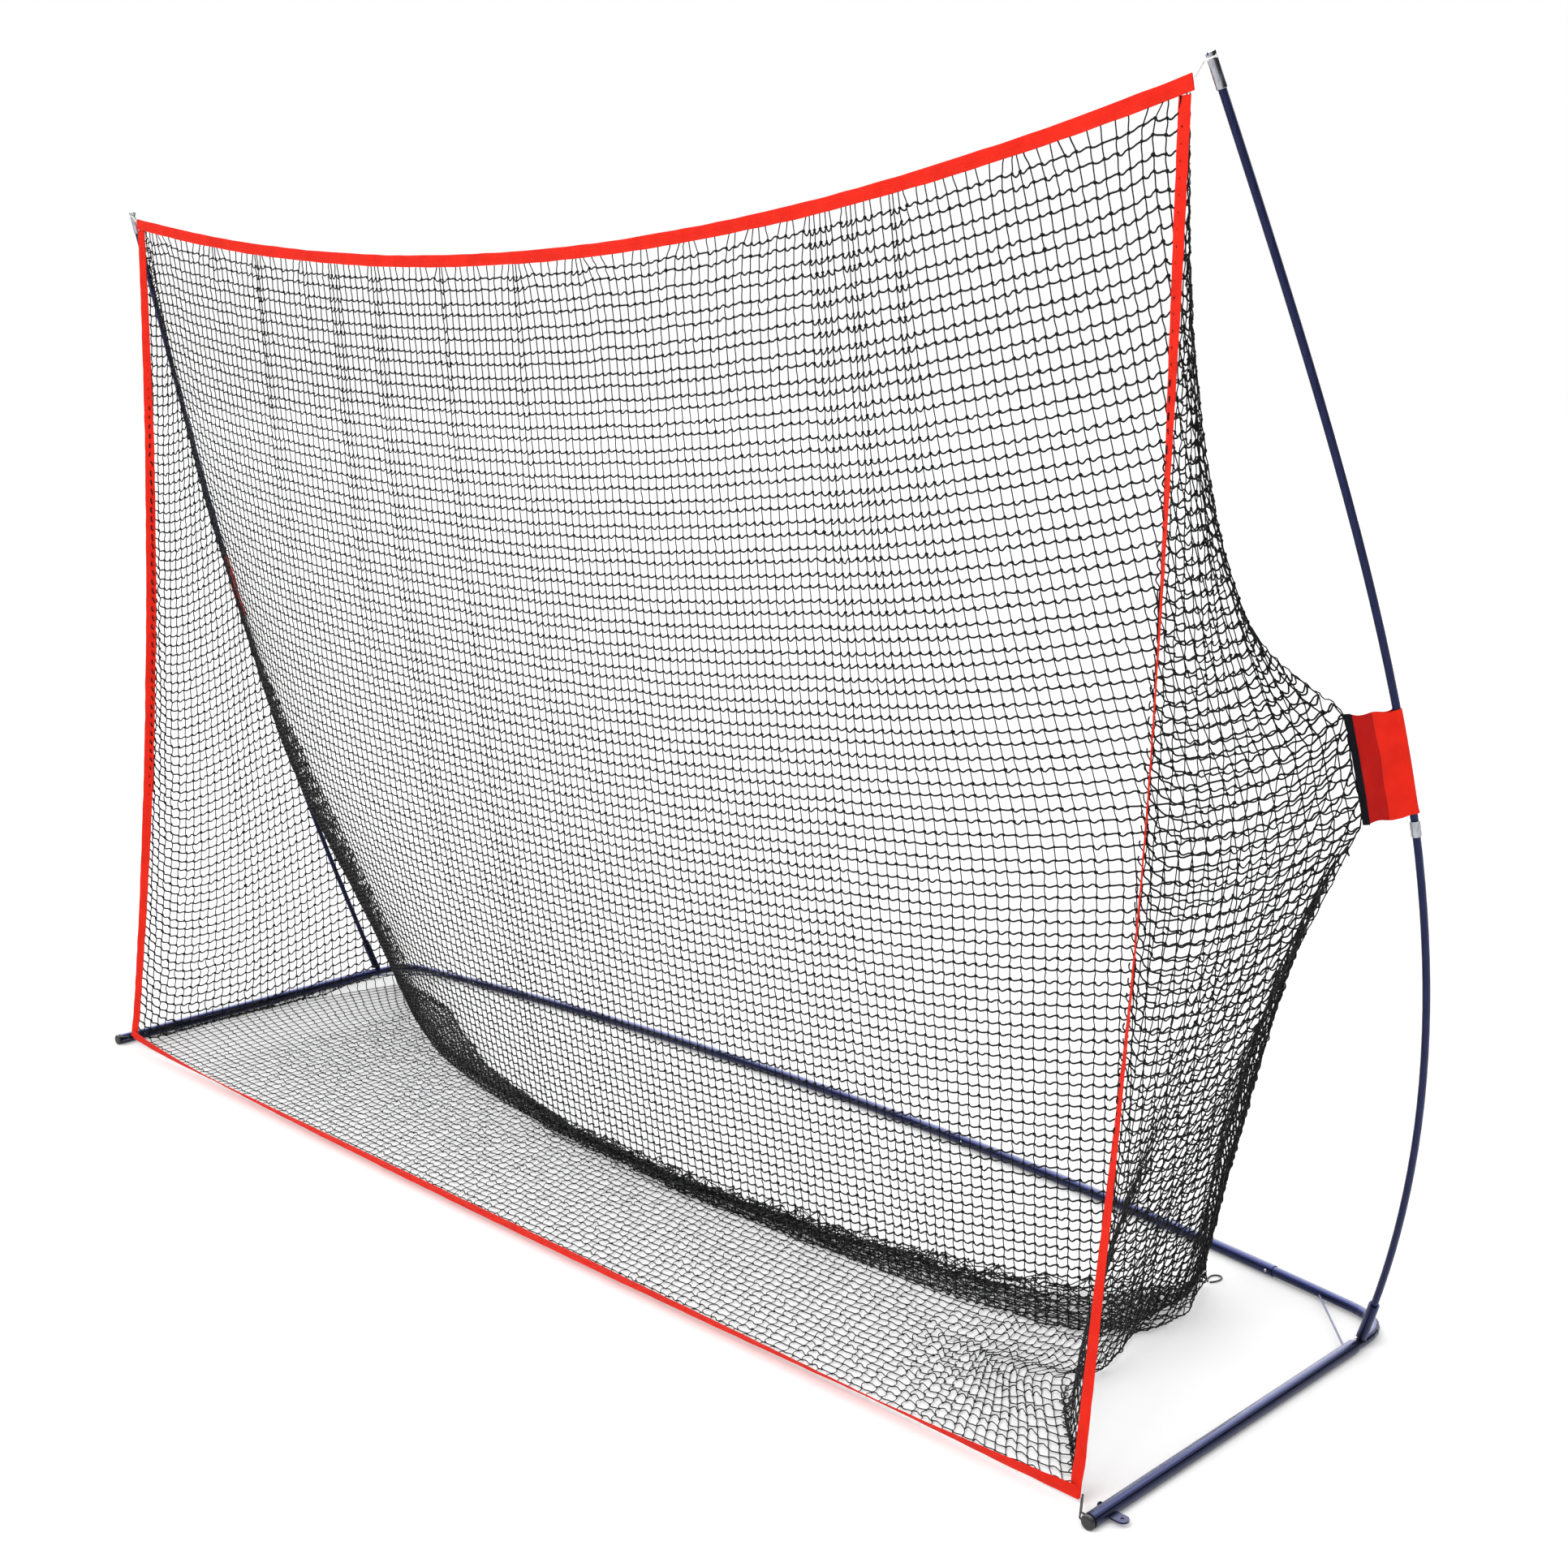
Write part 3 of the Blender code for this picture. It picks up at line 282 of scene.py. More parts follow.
NODE_MATERIALS = {
    "side_tube": PAINT, "corner_elbow": PAINT, "rear_tube": PAINT, "pole_socket": PAINT, "corner_stay": PAINT,
    "stake_tab": PAINT, "hook_rivet": PAINT, "front_end_cap": PLASTIC, "pole_lower": ROD, "pole_upper": ROD,
    "pole_ferrule": NICKEL, "pole_top_cap": NICKEL, "snap_button": SPRING, "button_spring": SPRING,
}


def dress_cad_nodes():
    """Gives every rigid CAD node that stays its material and smooth shading."""
    for name, obj in nodes.items():
        for start, mat in NODE_MATERIALS.items():
            if name.startswith(start):
                obj.data.materials.clear()
                obj.data.materials.append(mat)
                custom = obj.data.attributes.get("custom_normal")
                if custom:
                    obj.data.attributes.remove(custom)
                obj.data.shade_smooth()
                obj.data.set_sharp_from_angle(angle=math.radians(38))


# Mesh helpers


def place_object(name, data):
    obj = bpy.data.objects.new(name, data)
    bpy.context.scene.collection.objects.link(obj)
    return obj


def declare(obj, replaces):
    """Every visible piece of cloth, cord or netting rides with the frame."""
    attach(obj, ROOT)
    if replaces:
        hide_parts(*replaces)
    return obj


def add_piece(name, verts, faces, mat, replaces=(), sharp=50):
    """A piece from points and faces, smooth but for edges sharper than an angle."""
    mesh = bpy.data.meshes.new(name)
    mesh.from_pydata([tuple(v) for v in verts], [], faces)
    mesh.validate()
    mesh.shade_smooth()
    mesh.set_sharp_from_angle(angle=math.radians(sharp))
    mesh.materials.append(mat)
    return declare(place_object(name, mesh), replaces)


def unit(v):
    return v / np.maximum(np.linalg.norm(v, axis=-1, keepdims=True), 1e-12)


def square_to(v, along):
    """The part of v that is at a right angle to the unit vector along, made a unit vector."""
    return unit(v - along * (v * along).sum(-1, keepdims=True))


def distances_along(line):
    return np.concatenate([[0], np.cumsum(np.linalg.norm(np.diff(line, axis=0), axis=1))])


def length_of(line):
    return float(distances_along(line)[-1])


def at_distances(line, distances, values=None):
    """Points at distances along a line, or what a list of values for its points comes to there."""
    length = distances_along(line)
    values = line if values is None else values
    return np.stack([np.interp(distances, length, values[:, k]) for k in range(3)], -1)


def resample(line, shares):
    """Points at the given shares of a line's length."""
    return at_distances(line, np.asarray(shares) * distances_along(line)[-1])


def smoothstep(low, high, value):
    """0 up to low, 1 from high; low may be the larger."""
    t = np.clip((value - low) / (high - low), 0, 1)
    return t * t * (3 - 2 * t)


def sweep(line, across, outward, profile):
    """A closed body along a line. profile holds its section's (width, height) pairs, fixed or per point."""
    line, across, outward = (np.asarray(a, float) for a in (line, across, outward))
    count, ring = len(line), len(profile)
    verts = np.empty((count, ring, 3))
    for k, (width, height) in enumerate(profile):
        verts[:, k] = line + across * np.reshape(width, (-1, 1)) + outward * np.reshape(height, (-1, 1))
    faces = []
    for i in range(count - 1):
        for k in range(ring):
            a, b = i * ring + k, i * ring + (k + 1) % ring
            faces.append((a, b, b + ring, a + ring))
    faces.append(tuple(reversed(range(ring))))
    faces.append(tuple((count - 1) * ring + k for k in range(ring)))
    return verts.reshape(-1, 3), faces


def folded_section(half, gap, wrinkle):
    """The section of a strip of cloth folded double, with a ridge along it. wrinkle shifts all of it."""
    outer = gap / 2 + CLOTH
    ridge = 0.00035
    shape = ((-1, 0), (-0.55, 0), (-0.22, 0), (-0.12, 1), (0.3, 0.6), (0.85, 0))
    skin = [(half * w, ridge * r) for w, r in shape]
    front = [(w, outer + r + wrinkle) for w, r in skin]
    fold = [(half, outer * 0.6 + wrinkle), (half + 0.0004, wrinkle), (half, -outer * 0.6 + wrinkle)]
    back = [(w, -outer - r + wrinkle) for w, r in reversed(skin)]
    inside_back = [(-half, -gap / 2 + wrinkle), (half * 0.8, -gap / 2 + wrinkle)]
    inside_front = [(half * 0.8, gap / 2 + wrinkle), (-half, gap / 2 + wrinkle)]
    return front + fold + back + inside_back + inside_front


# The mouth's tapes


def bulge(t):
    return 4 * t * (1 - t)


def lerp(a, b, t):
    t = np.asarray(t, float)[..., None]
    return a * (1 - t) + b * t


def mouth_top(t):
    return lerp(MOUTH["top_l"], MOUTH["top_r"], t) + bulge(t)[..., None] * np.array((0, TOP_BACK, -TOP_SAG))


def mouth_bottom(t):
    point = lerp(MOUTH["bottom_l"], MOUTH["bottom_r"], t)
    point[..., 1] -= BOTTOM_FRONT * bulge(t)
    rise = np.minimum(np.exp(-t / 0.05) + np.exp(-(1 - t) / 0.05), 1)
    point[..., 2] = GROUND_LIE + (point[..., 2] - GROUND_LIE) * rise
    return point


def mouth_side(side, t):
    point = lerp(MOUTH[f"top_{side}"], MOUTH[f"bottom_{side}"], t)
    point[..., 1] += EDGE_BACK * bulge(t)
    return point


def wander(count, waves, size):
    """A smooth random offset along a line."""
    t = np.linspace(0, 2 * PI, count)
    offset = np.zeros(count)
    for k in waves:
        offset += np.sin(k * t + rng.uniform(0, 2 * PI)) * rng.uniform(0.4, 1.0)
    return offset * size / len(waves)


def tape(name, line, across, shift):
    """One folded tape with its two rows of stitches. shift moves it across its width, off the line."""
    count = len(line)
    along = unit(np.gradient(line, axis=0))
    across = square_to(across, along)
    outward = np.cross(along, across)
    half = TAPE_WIDTH / 2 + wander(count, (9, 17, 31), 0.0006)
    centre = line + across * (shift + wander(count, (5, 12, 40), 0.0008))[:, None]
    ripple = wander(count, (23, 37, 61), 0.0007)
    verts, faces = sweep(centre, across, outward, folded_section(half, 0.0006, ripple))
    piece = add_piece(name, verts, faces, RED, [name.replace("binding", "tape")])
    for part, place in (("inner", -0.72), ("middle", -0.30)):
        row = centre + across * (half * place)[:, None]
        stitch_row(name.replace("binding", "stitches") + "_" + part, row, outward, ripple)


def stitch_row(name, line, outward, ripple, faces=(1, -1), proud=0.00125):
    """Thread lying on a tape's faces, one short stitch after another."""
    length = distances_along(line)
    starts = np.arange(STITCH_MARGIN, length[-1] - STITCH_MARGIN, STITCH_PITCH)
    grid = starts[:, None] + np.linspace(0, STITCH_SHARE * STITCH_PITCH, 4)
    rise = np.array((0.55, 1.0, 1.0, 0.55))[:, None]
    at, out = at_distances(line, grid), unit(at_distances(line, grid, outward))
    paths = [at + out * (np.interp(grid, length, ripple)[..., None] + face * proud * rise) for face in faces]
    tubes_piece(name, np.concatenate(paths), STITCH_R, STRAND_SIDES, THREAD)


def build_tapes():
    count = TAPE_POINTS
    tape("binding_top", mouth_top(np.linspace(0, 1, count)), np.tile(UP, (count, 1)), -TAPE_WIDTH / 2)
    low_t = np.linspace(0.002, 0.998, count)
    flat = np.sin(PI * low_t) ** 0.6 * math.radians(80)
    across = -np.stack([np.zeros(count), np.sin(flat), -np.cos(flat) * 0.5 * (1 + np.cos(flat))], -1)
    line = mouth_bottom(low_t)
    least = TAPE_WIDTH / 2 * np.abs(unit(across)[:, 2]) + 0.0024
    line[:, 2] = np.maximum(line[:, 2], least)
    tape("binding_bottom", line, across, 0.0)
    for side, sign in SIDES.items():
        side_t = np.linspace(*SIDE_TAPE_RUN, count)
        turn = np.radians(12 + 45 * np.sin(PI * side_t) ** 2)
        across = -np.stack([-sign * np.cos(turn), np.sin(turn), np.zeros(count)], -1)
        line = mouth_side(side, side_t)
        line[:, 1] -= SIDE_TAPE_LAP * smoothstep(0.980, 0.990, side_t)  # the end laps over the bottom tape
        tape(f"binding_side_{side}", line, across, -TAPE_WIDTH / 2)


# Strands


def tubes_of(paths, radius, sides):
    """Points and quads of open tubes round many paths of equal length: paths is (number, points, 3)."""
    tangent = unit(np.gradient(paths, axis=1))
    chord = unit(paths[:, -1] - paths[:, 0])
    flat = np.where(np.abs(chord[:, 2:]) > 0.9, np.array((1.0, 0, 0)), UP)
    first = square_to(unit(np.cross(chord, flat))[:, None], tangent)
    second = np.cross(tangent, first)
    turn = 2 * PI * np.arange(sides) / sides
    ring = first[:, :, None] * np.cos(turn)[:, None] + second[:, :, None] * np.sin(turn)[:, None]
    verts = paths[:, :, None] + ring * radius
    number, points = paths.shape[:2]
    base = (np.arange(number * points) * sides).reshape(number, points)[:, :-1, None]
    k = np.arange(sides)
    here, after = base + k, base + (k + 1) % sides
    quads = np.stack([here, after, after + sides, here + sides], -1).reshape(-1, 4)
    return verts.reshape(-1, 3), quads


def mesh_from(name, groups):
    """A mesh from (points, faces, material index) groups; all faces of a group have as many corners."""
    mesh = bpy.data.meshes.new(name)
    verts, loops, sizes, slots, base = [], [], [], [], 0
    for points, faces, slot in groups:
        verts.append(points)
        loops.append((faces + base).ravel())
        sizes.append(np.full(len(faces), faces.shape[1]))
        slots.append(np.broadcast_to(slot, len(faces)))
        base += len(points)
    verts, loops, sizes, slots = (np.concatenate(a) for a in (verts, loops, sizes, slots))
    mesh.vertices.add(len(verts))
    mesh.vertices.foreach_set("co", verts.astype(np.float32).ravel())
    mesh.loops.add(len(loops))
    mesh.loops.foreach_set("vertex_index", loops.astype(np.int32))
    mesh.polygons.add(len(sizes))
    mesh.polygons.foreach_set("loop_start", (np.cumsum(sizes) - sizes).astype(np.int32))
    mesh.polygons.foreach_set("material_index", slots.astype(np.int32))
    mesh.update(calc_edges=True)
    mesh.validate()
    mesh.shade_smooth()
    return mesh


def tubes_piece(name, paths, radius, sides, mat, replaces=()):
    mesh = mesh_from(name, [(*tubes_of(paths, radius, sides), 0)])
    mesh.materials.append(mat)
    declare(place_object(name, mesh), replaces)


def strand_paths(a, b, natural, hook, stray, count):
    """Slack cords from knots a to knots b: each sags under its weight and leaves its knots in a slight S."""
    chord = b - a
    span = np.linalg.norm(chord, axis=-1, keepdims=True)
    along = chord / np.maximum(span, 1e-9)
    down = -UP + along * along[:, 2:]
    side = unit(np.cross(along, UP) + 1e-6)
    grounded = 1 - smoothstep(0.010, 0.045, (a + b)[:, 2:] / 2)
    sway = rng.normal(0, 1, (len(a), 1))
    pull = down * (1 - grounded) + side * sway * (stray + grounded * 1.4) + UP * grounded * 0.25
    pull = square_to(pull, along)
    sag = 0.433 * np.sqrt(np.maximum(natural**2 - span**2, 0))
    t = np.linspace(0, 1, count)[:, None]
    slope = hook * natural * (1 + 0.5 * rng.normal(0, 1, (len(a), 1)))
    bend = pull[:, None] * (sag[:, None] * 4 * t * (1 - t) + slope[:, None] * np.sin(2 * PI * t))
    paths = a[:, None] + chord[:, None] * t + bend
    paths[..., 2] = np.maximum(paths[..., 2], 0.0012)
    return paths


def icosahedron():
    golden = (1 + 5**0.5) / 2
    corners = [(0, s, t * golden) for s in (-1, 1) for t in (-1, 1)]
    turned = [(c, a, b) for a, b, c in corners], [(b, c, a) for a, b, c in corners]
    corners = np.array([*corners, *turned[0], *turned[1]])
    corners = corners / np.linalg.norm(corners[0])
    gaps = np.linalg.norm(corners[:, None] - corners[None], axis=-1)
    near = (gaps > 0) & (gaps < 1.2)
    tris = []
    for i, j, k in itertools.combinations(range(12), 3):
        if near[i, j] and near[j, k] and near[i, k]:
            outward = np.dot(np.cross(corners[j] - corners[i], corners[k] - corners[i]), corners[i]) > 0
            tris.append((i, j, k) if outward else (i, k, j))
    return corners, np.array(tris)


def knots_of(centres, rows, columns, thick):
    """A lumpy knot at each crossing, turned with the cords that meet there."""
    corners, tris = icosahedron()
    x = unit(rows)
    z = unit(np.cross(x, columns) + 1e-9)
    y = np.cross(z, x)
    size = np.array(KNOT_SIZE) * thick * (1 + 0.12 * rng.normal(0, 1, (len(centres), 1)))
    shaped = corners[None] * size[:, None] * (1 + 0.10 * rng.normal(0, 1, (len(centres), 12, 1)))
    across, up, out = (shaped[..., k : k + 1] * axis[:, None] for k, axis in enumerate((x, y, z)))
    points = centres[:, None] + across + up + out
    faces = (np.arange(len(centres)) * 12)[:, None, None] + tris
    return points.reshape(-1, 3), faces.reshape(-1, 3)


# The netting


def smooth_line(points):
    """A fine Catmull-Rom line through the points."""
    knots = np.array(points, float)
    knots = np.concatenate([[2 * knots[0] - knots[1]], knots, [2 * knots[-1] - knots[-2]]])
    t = np.linspace(0, 1, 17)[:-1, None]
    parts = []
    for a, b, c, d in zip(knots, knots[1:], knots[2:], knots[3:]):
        curve = (c - a) * t + (2 * a - 5 * b + 4 * c - d) * t**2 + (3 * b - a - 3 * c + d) * t**3
        parts.append(0.5 * (2 * b + curve))
    return np.concatenate([*parts, knots[-2:-1]])


def hem_line():
    """Where the back panel meets the floor panel."""
    line = smooth_line(HEM)
    t = np.linspace(0, 1, len(line))
    line[:, 1] += 0.007 * np.sin(2 * PI * 11 * t + 1.1) * np.sin(PI * t) * (0.4 + 0.6 * t)
    return line


def hem_shares(count):
    """Shares along the hem for the columns: even, but bunched where the bag is tied or lies in a heap."""
    place = np.linspace(0, 1, count + 1)
    gaps = 1 - 0.55 * np.exp(-place / 0.012) - 0.50 * smoothstep(0.84, 0.96, place)
    shares = np.concatenate([[0], np.cumsum((gaps[1:] + gaps[:-1]) / 2)])
    return shares / shares[-1]


def gathered(count):
    """Shares along the top tape for the columns: uneven, with a tight pleat here and there."""
    gaps = 1 + 0.30 * rng.normal(0, 1, count)
    k = 3
    while k < count - 4:
        gaps[k : k + 3] *= 0.42
        k += int(rng.integers(6, 14))
    gaps = np.clip(gaps, 0.3, 1.7)
    shares = np.concatenate([[0], np.cumsum(gaps)])
    return shares / shares[-1]


def tape_inside(name, shares):
    """Where the netting is sewn: a line inside each of the mouth's tapes."""
    t = np.asarray(shares, float)
    if name == "top":
        point = mouth_top(t)
        point[..., 2] -= TAPE_WIDTH
    elif name == "bottom":
        point = lerp(MOUTH["bottom_l"], MOUTH["bottom_r"], t)
        point[..., 1] += 0.012 - BOTTOM_FRONT * bulge(t)
        point[..., 2] = 0.006 + 0.012 * (np.exp(-t / 0.03) + np.exp(-(1 - t) / 0.03))
    else:
        drop = 0.010 if name == "l" else 0.005
        point = lerp(MOUTH[f"top_{name}"] - TAPE_WIDTH * UP, MOUTH[f"bottom_{name}"] - drop * UP, t)
        point[..., 0] -= SIDES[name] * 0.014
        point[..., 1] += EDGE_BACK * bulge(t) + 0.008 * np.sin(PI * t)
    return point


def patch(top, bottom, left, right):
    """A grid of points between four edges (Coons)."""
    rows, cols = len(left), len(top)
    v, u = np.linspace(0, 1, rows)[:, None, None], np.linspace(0, 1, cols)[None, :, None]
    corners = (1 - v) * ((1 - u) * top[0] + u * top[-1]) + v * ((1 - u) * bottom[0] + u * bottom[-1])
    return (1 - v) * top[None] + v * bottom[None] + (1 - u) * left[:, None] + u * right[:, None] - corners


def pairs_along(free, length, axis):
    """Neighbour pairs along an axis, in two batches that do not overlap, with each end's share of a move."""
    batches = []
    size = free.shape[axis]
    for start in (0, 1):
        count = (size - start) // 2
        first, second, edge = [slice(None)] * 2, [slice(None)] * 2, [slice(None)] * 2
        first[axis] = slice(start, start + 2 * count, 2)
        second[axis] = slice(start + 1, start + 2 * count, 2)
        edge[axis] = slice(start, start + 2 * count - 1, 2)
        a, b = free[tuple(first)], free[tuple(second)]
        total = np.where(a + b == 0, 1, a + b)
        batches.append((tuple(first), tuple(second), length[tuple(edge)][..., None], a / total, b / total))
    return batches


def relax(net, pinned, along, down, rounds, first_drop, last_drop):
    """Lets the free knots fall in ever smaller drops. No cord stretches and none goes below the floor."""
    free = np.where(pinned, 0.0, 1.0)[..., None]
    batches = pairs_along(free, along, 1) + pairs_along(free, down, 0)
    for k in range(rounds):
        before = net[..., :2].copy()
        net[..., 2] -= first_drop * (last_drop / first_drop) ** (k / rounds) * free[..., 0]
        for first, second, limit, share_a, share_b in batches:
            a, b = net[first], net[second]
            gap = b - a
            span = np.sqrt(np.einsum("ijk,ijk->ij", gap, gap))[..., None] + 1e-12
            gap *= np.maximum(1 - limit / span, 0)
            a += gap * share_a
            b -= gap * share_b
        low = (net[..., 2] < FLOOR_CLEAR) & ~pinned
        net[low, 2] = FLOOR_CLEAR
        net[low, :2] = before[low] + (net[low, :2] - before[low]) * 0.4


def finer(net):
    """The same sheet with twice as many knots each way."""
    rows, cols = net.shape[:2]
    fine = np.zeros((2 * rows - 1, 2 * cols - 1, 3))
    fine[::2, ::2] = net
    fine[1::2, ::2] = (net[1:] + net[:-1]) / 2
    fine[:, 1::2] = (fine[:, :-2:2] + fine[:, 2::2]) / 2
    return fine


def back_drop(height, cols):
    """Cord lengths down the back panel's columns."""
    place = np.linspace(0, 1, cols)
    near = np.exp(-np.minimum(place, 1 - place) / EDGE_REACH)
    return np.interp(height, PITCH_AT, BACK_DROP)[:, None] * (1 + EDGE_STRETCH * near)


def hang_back():
    """The back panel's knots, relaxed from coarse to fine between the top tape, the seams and the hem."""
    down_seam = np.linspace(0, 1, BACK_ROWS + 1)
    edges = [
        tape_inside("top", gathered(BACK_COLS)), resample(hem_line(), hem_shares(BACK_COLS)),
        resample(smooth_line(SEAM["l"]), down_seam), resample(smooth_line(SEAM["r"]), down_seam),
    ]
    net = None
    for step, rounds, first_drop, last_drop in BACK_LEVELS:
        top, bottom, left, right = (edge[::step] for edge in edges)
        if net is None:
            net = patch(top, bottom, left, right)
            v, u = np.linspace(0, 1, len(left))[:, None], np.linspace(0, 1, len(top))[None]
            net[..., 1] += BACK_BELLY * np.sin(PI * u) ** 0.7 * np.sin(PI * v) ** 0.8
        else:
            net = finer(net)
        net[0], net[-1], net[:, 0], net[:, -1] = top, bottom, left, right
        pinned = np.zeros(net.shape[:2], bool)
        pinned[0] = pinned[-1] = True
        pinned[:, 0] = pinned[:, -1] = True
        net += rng.normal(0, 0.0010 * step, net.shape) * ~pinned[..., None]
        height = np.linspace(0, 1, len(left))
        along = np.interp(height, PITCH_AT, BACK_PITCH)[:, None] * np.ones(len(top) - 1)
        down = back_drop(height[:-1], len(top))
        relax(net, pinned, step * along, step * down, rounds, first_drop, last_drop)
    return tucked(net)


def tucked(net):
    """The lower left part drawn back towards the rear corner, tight between the seam and the hem."""
    height, width = (np.linspace(0, 1, count) for count in net.shape[:2])
    down = smoothstep(*TUCK_FROM, height) * (1 - smoothstep(*TUCK_TO, height))
    across = (width / TUCK_PEAK * np.exp(1 - width / TUCK_PEAK)) ** 2
    net[..., 1:] += (down[:, None] * across)[..., None] * TUCK
    return net


def hang_side(side):
    """A side panel's knots and which of them exist: a triangle from the top corner to the base seam."""
    rows = np.arange(SIDE_ROWS + 1)
    front = tape_inside(side, rows / SIDE_ROWS)
    rear = resample(smooth_line(SEAM[side]), rows / SIDE_ROWS)
    wide = np.round(SIDE_COLS * rows / SIDE_ROWS).astype(int)  # cells across the panel at each row
    cols = np.arange(SIDE_COLS + 1)
    valid = cols[None] <= wide[:, None]
    share = np.minimum(cols[None] / np.maximum(wide, 1)[:, None], 1)[..., None]
    net = front[:, None] * (1 - share) + rear[:, None] * share
    base = resample(smooth_line(BASE_SEAM[side]), cols / SIDE_COLS)
    inward = smoothstep(0.60, 1.0, rows / SIDE_ROWS)[:, None]
    for axis in (0, 1):
        net[..., axis] += inward * np.interp(share[..., 0], cols / SIDE_COLS, (base - net[-1])[:, axis])
    net[-1] = base
    pinned = ~valid
    pinned[:, 0] = pinned[-1] = True
    pinned[rows, wide] = True
    net += rng.normal(0, 0.0012, net.shape) * ~pinned[..., None]
    along = np.where(valid[:, 1:], SIDE_PITCH, 10.0)
    down = np.where(valid[:-1] & valid[1:], SIDE_DROP, 10.0)
    relax(net, pinned, along, down, *SIDE_LEVEL)
    return net, valid


def wavy(u, v, waves, size):
    """Smooth random folds over a grid."""
    total = np.zeros(np.broadcast(u, v).shape)
    for across, along in waves:
        total += np.sin(2 * PI * (across * u + along * v) + rng.uniform(0, 2 * PI)) * rng.uniform(0.5, 1.0)
    return total * size / len(waves)


def lay_floor():
    """The floor panel's knots: flat from the bottom tape on, the spare rows crumpled up against the hem."""
    shares = np.linspace(0, 1, FLOOR_COLS + 1)
    front = tape_inside("bottom", 0.004 + 0.992 * shares)
    rear = resample(hem_line(), shares)
    depth = np.linalg.norm(rear - front, axis=1)
    ends = np.minimum(1, np.exp(-shares / 0.10) + np.exp(-(1 - shares) / 0.05))
    pitch = FLOOR_PITCH[1] + (FLOOR_PITCH[0] - FLOOR_PITCH[1]) * ends
    row = np.arange(FLOOR_ROWS + 1)[:, None]
    laid = row * pitch / depth
    heap = smoothstep(0.08, 0.60, shares)
    band = (HEM_BAND[0] + (HEM_BAND[1] - HEM_BAND[0]) * heap) * (1 - ends)
    start = np.minimum((depth - band) / pitch, FLOOR_ROWS - 1)
    start_share = start * pitch / depth
    late = np.clip((row - start) / np.maximum(FLOOR_ROWS - start, 1), 0, 1)
    share = np.where(row <= start, laid, start_share + (1 - start_share) * late)
    net = front[None] * (1 - share[..., None]) + rear[None] * share[..., None]
    u, v = shares[None], row / FLOOR_ROWS
    crumple = smoothstep(0.0, 0.25, late) * (1 - ends) * (late < 1) * (0.22 + 0.78 * heap)
    net[..., 2] = FLOOR_CLEAR + crumple * (0.010 + np.abs(wavy(u, v, HEM_FOLDS, 0.055)))
    net[..., 1] += crumple * wavy(u, v, HEM_FOLDS[::-1], 0.040)
    net[..., 0] += crumple * wavy(u, v, HEM_FOLDS, 0.030)
    flat = wavy(u, v, [(6, 1), (11, 2), (4, 3)], 0.0045) * np.sin(PI * v)
    net[..., 1] += flat
    net[0, :, 2], net[-1, :, 2] = front[:, 2], rear[:, 2]
    edges = (0, "l", smoothstep(0.10, 0.0, shares)), (-1, "r", smoothstep(0.84, 1.0, shares))
    for edge, side, near in edges:
        base = resample(smooth_line(BASE_SEAM[side]), row[:, 0] / FLOOR_ROWS)
        net[..., :2] += (base - net[:, edge])[:, None, :2] * near[:, None]
        net[:, edge] = base
    return net


def netting_piece(name, net, valid, box, row_natural, column_natural, slack, thick, replaces):
    """The strands and knots of one block of a panel. thick scales its cord."""
    top, foot, left, right = box
    good = valid[top : foot + 1, left : right + 1]
    block = net[top : foot + 1, left : right + 1]
    inner_rows = slice(1 if top == 0 else 0, foot - top)
    use = good[inner_rows, :-1] & good[inner_rows, 1:]
    a, b = block[inner_rows, :-1][use], block[inner_rows, 1:][use]
    natural = row_natural[top : foot + 1, left:right][inner_rows][use][:, None] * slack[0]
    rows = len(a)
    paths = strand_paths(a, b, natural, *ROW_LIE)
    row_points, row_quads = tubes_of(paths, ROW_CORD_R * thick, STRAND_SIDES)
    inner_cols = slice(1 if left == 0 else 0, right - left)
    use = good[:-1, inner_cols] & good[1:, inner_cols]
    a, b = block[:-1, inner_cols][use], block[1:, inner_cols][use]
    natural = column_natural[top:foot, left : right + 1][:, inner_cols][use][:, None] * slack[1]
    paths = strand_paths(a, b, natural, *COLUMN_LIE)
    column_points, column_quads = tubes_of(paths, COLUMN_CORD_R * thick, STRAND_SIDES)
    after, below = good[inner_rows, 1:][:, inner_cols], good[1:, inner_cols][inner_rows]
    use = good[inner_rows, inner_cols] & after & below
    here = block[inner_rows, inner_cols][use]
    after = block[inner_rows, 1:][:, inner_cols][use]
    below = block[1:, inner_cols][inner_rows][use]
    knots, knot_faces = knots_of(here, after - here, below - here, thick)
    shade = np.repeat(rng.integers(0, 2, rows), len(row_quads) // rows)
    groups = [(row_points, row_quads, shade), (column_points, column_quads, 0), (knots, knot_faces, 2)]
    mesh = mesh_from(name, groups)
    for mat in NET_YARNS:
        mesh.materials.append(mat)
    declare(place_object(name, mesh), replaces)


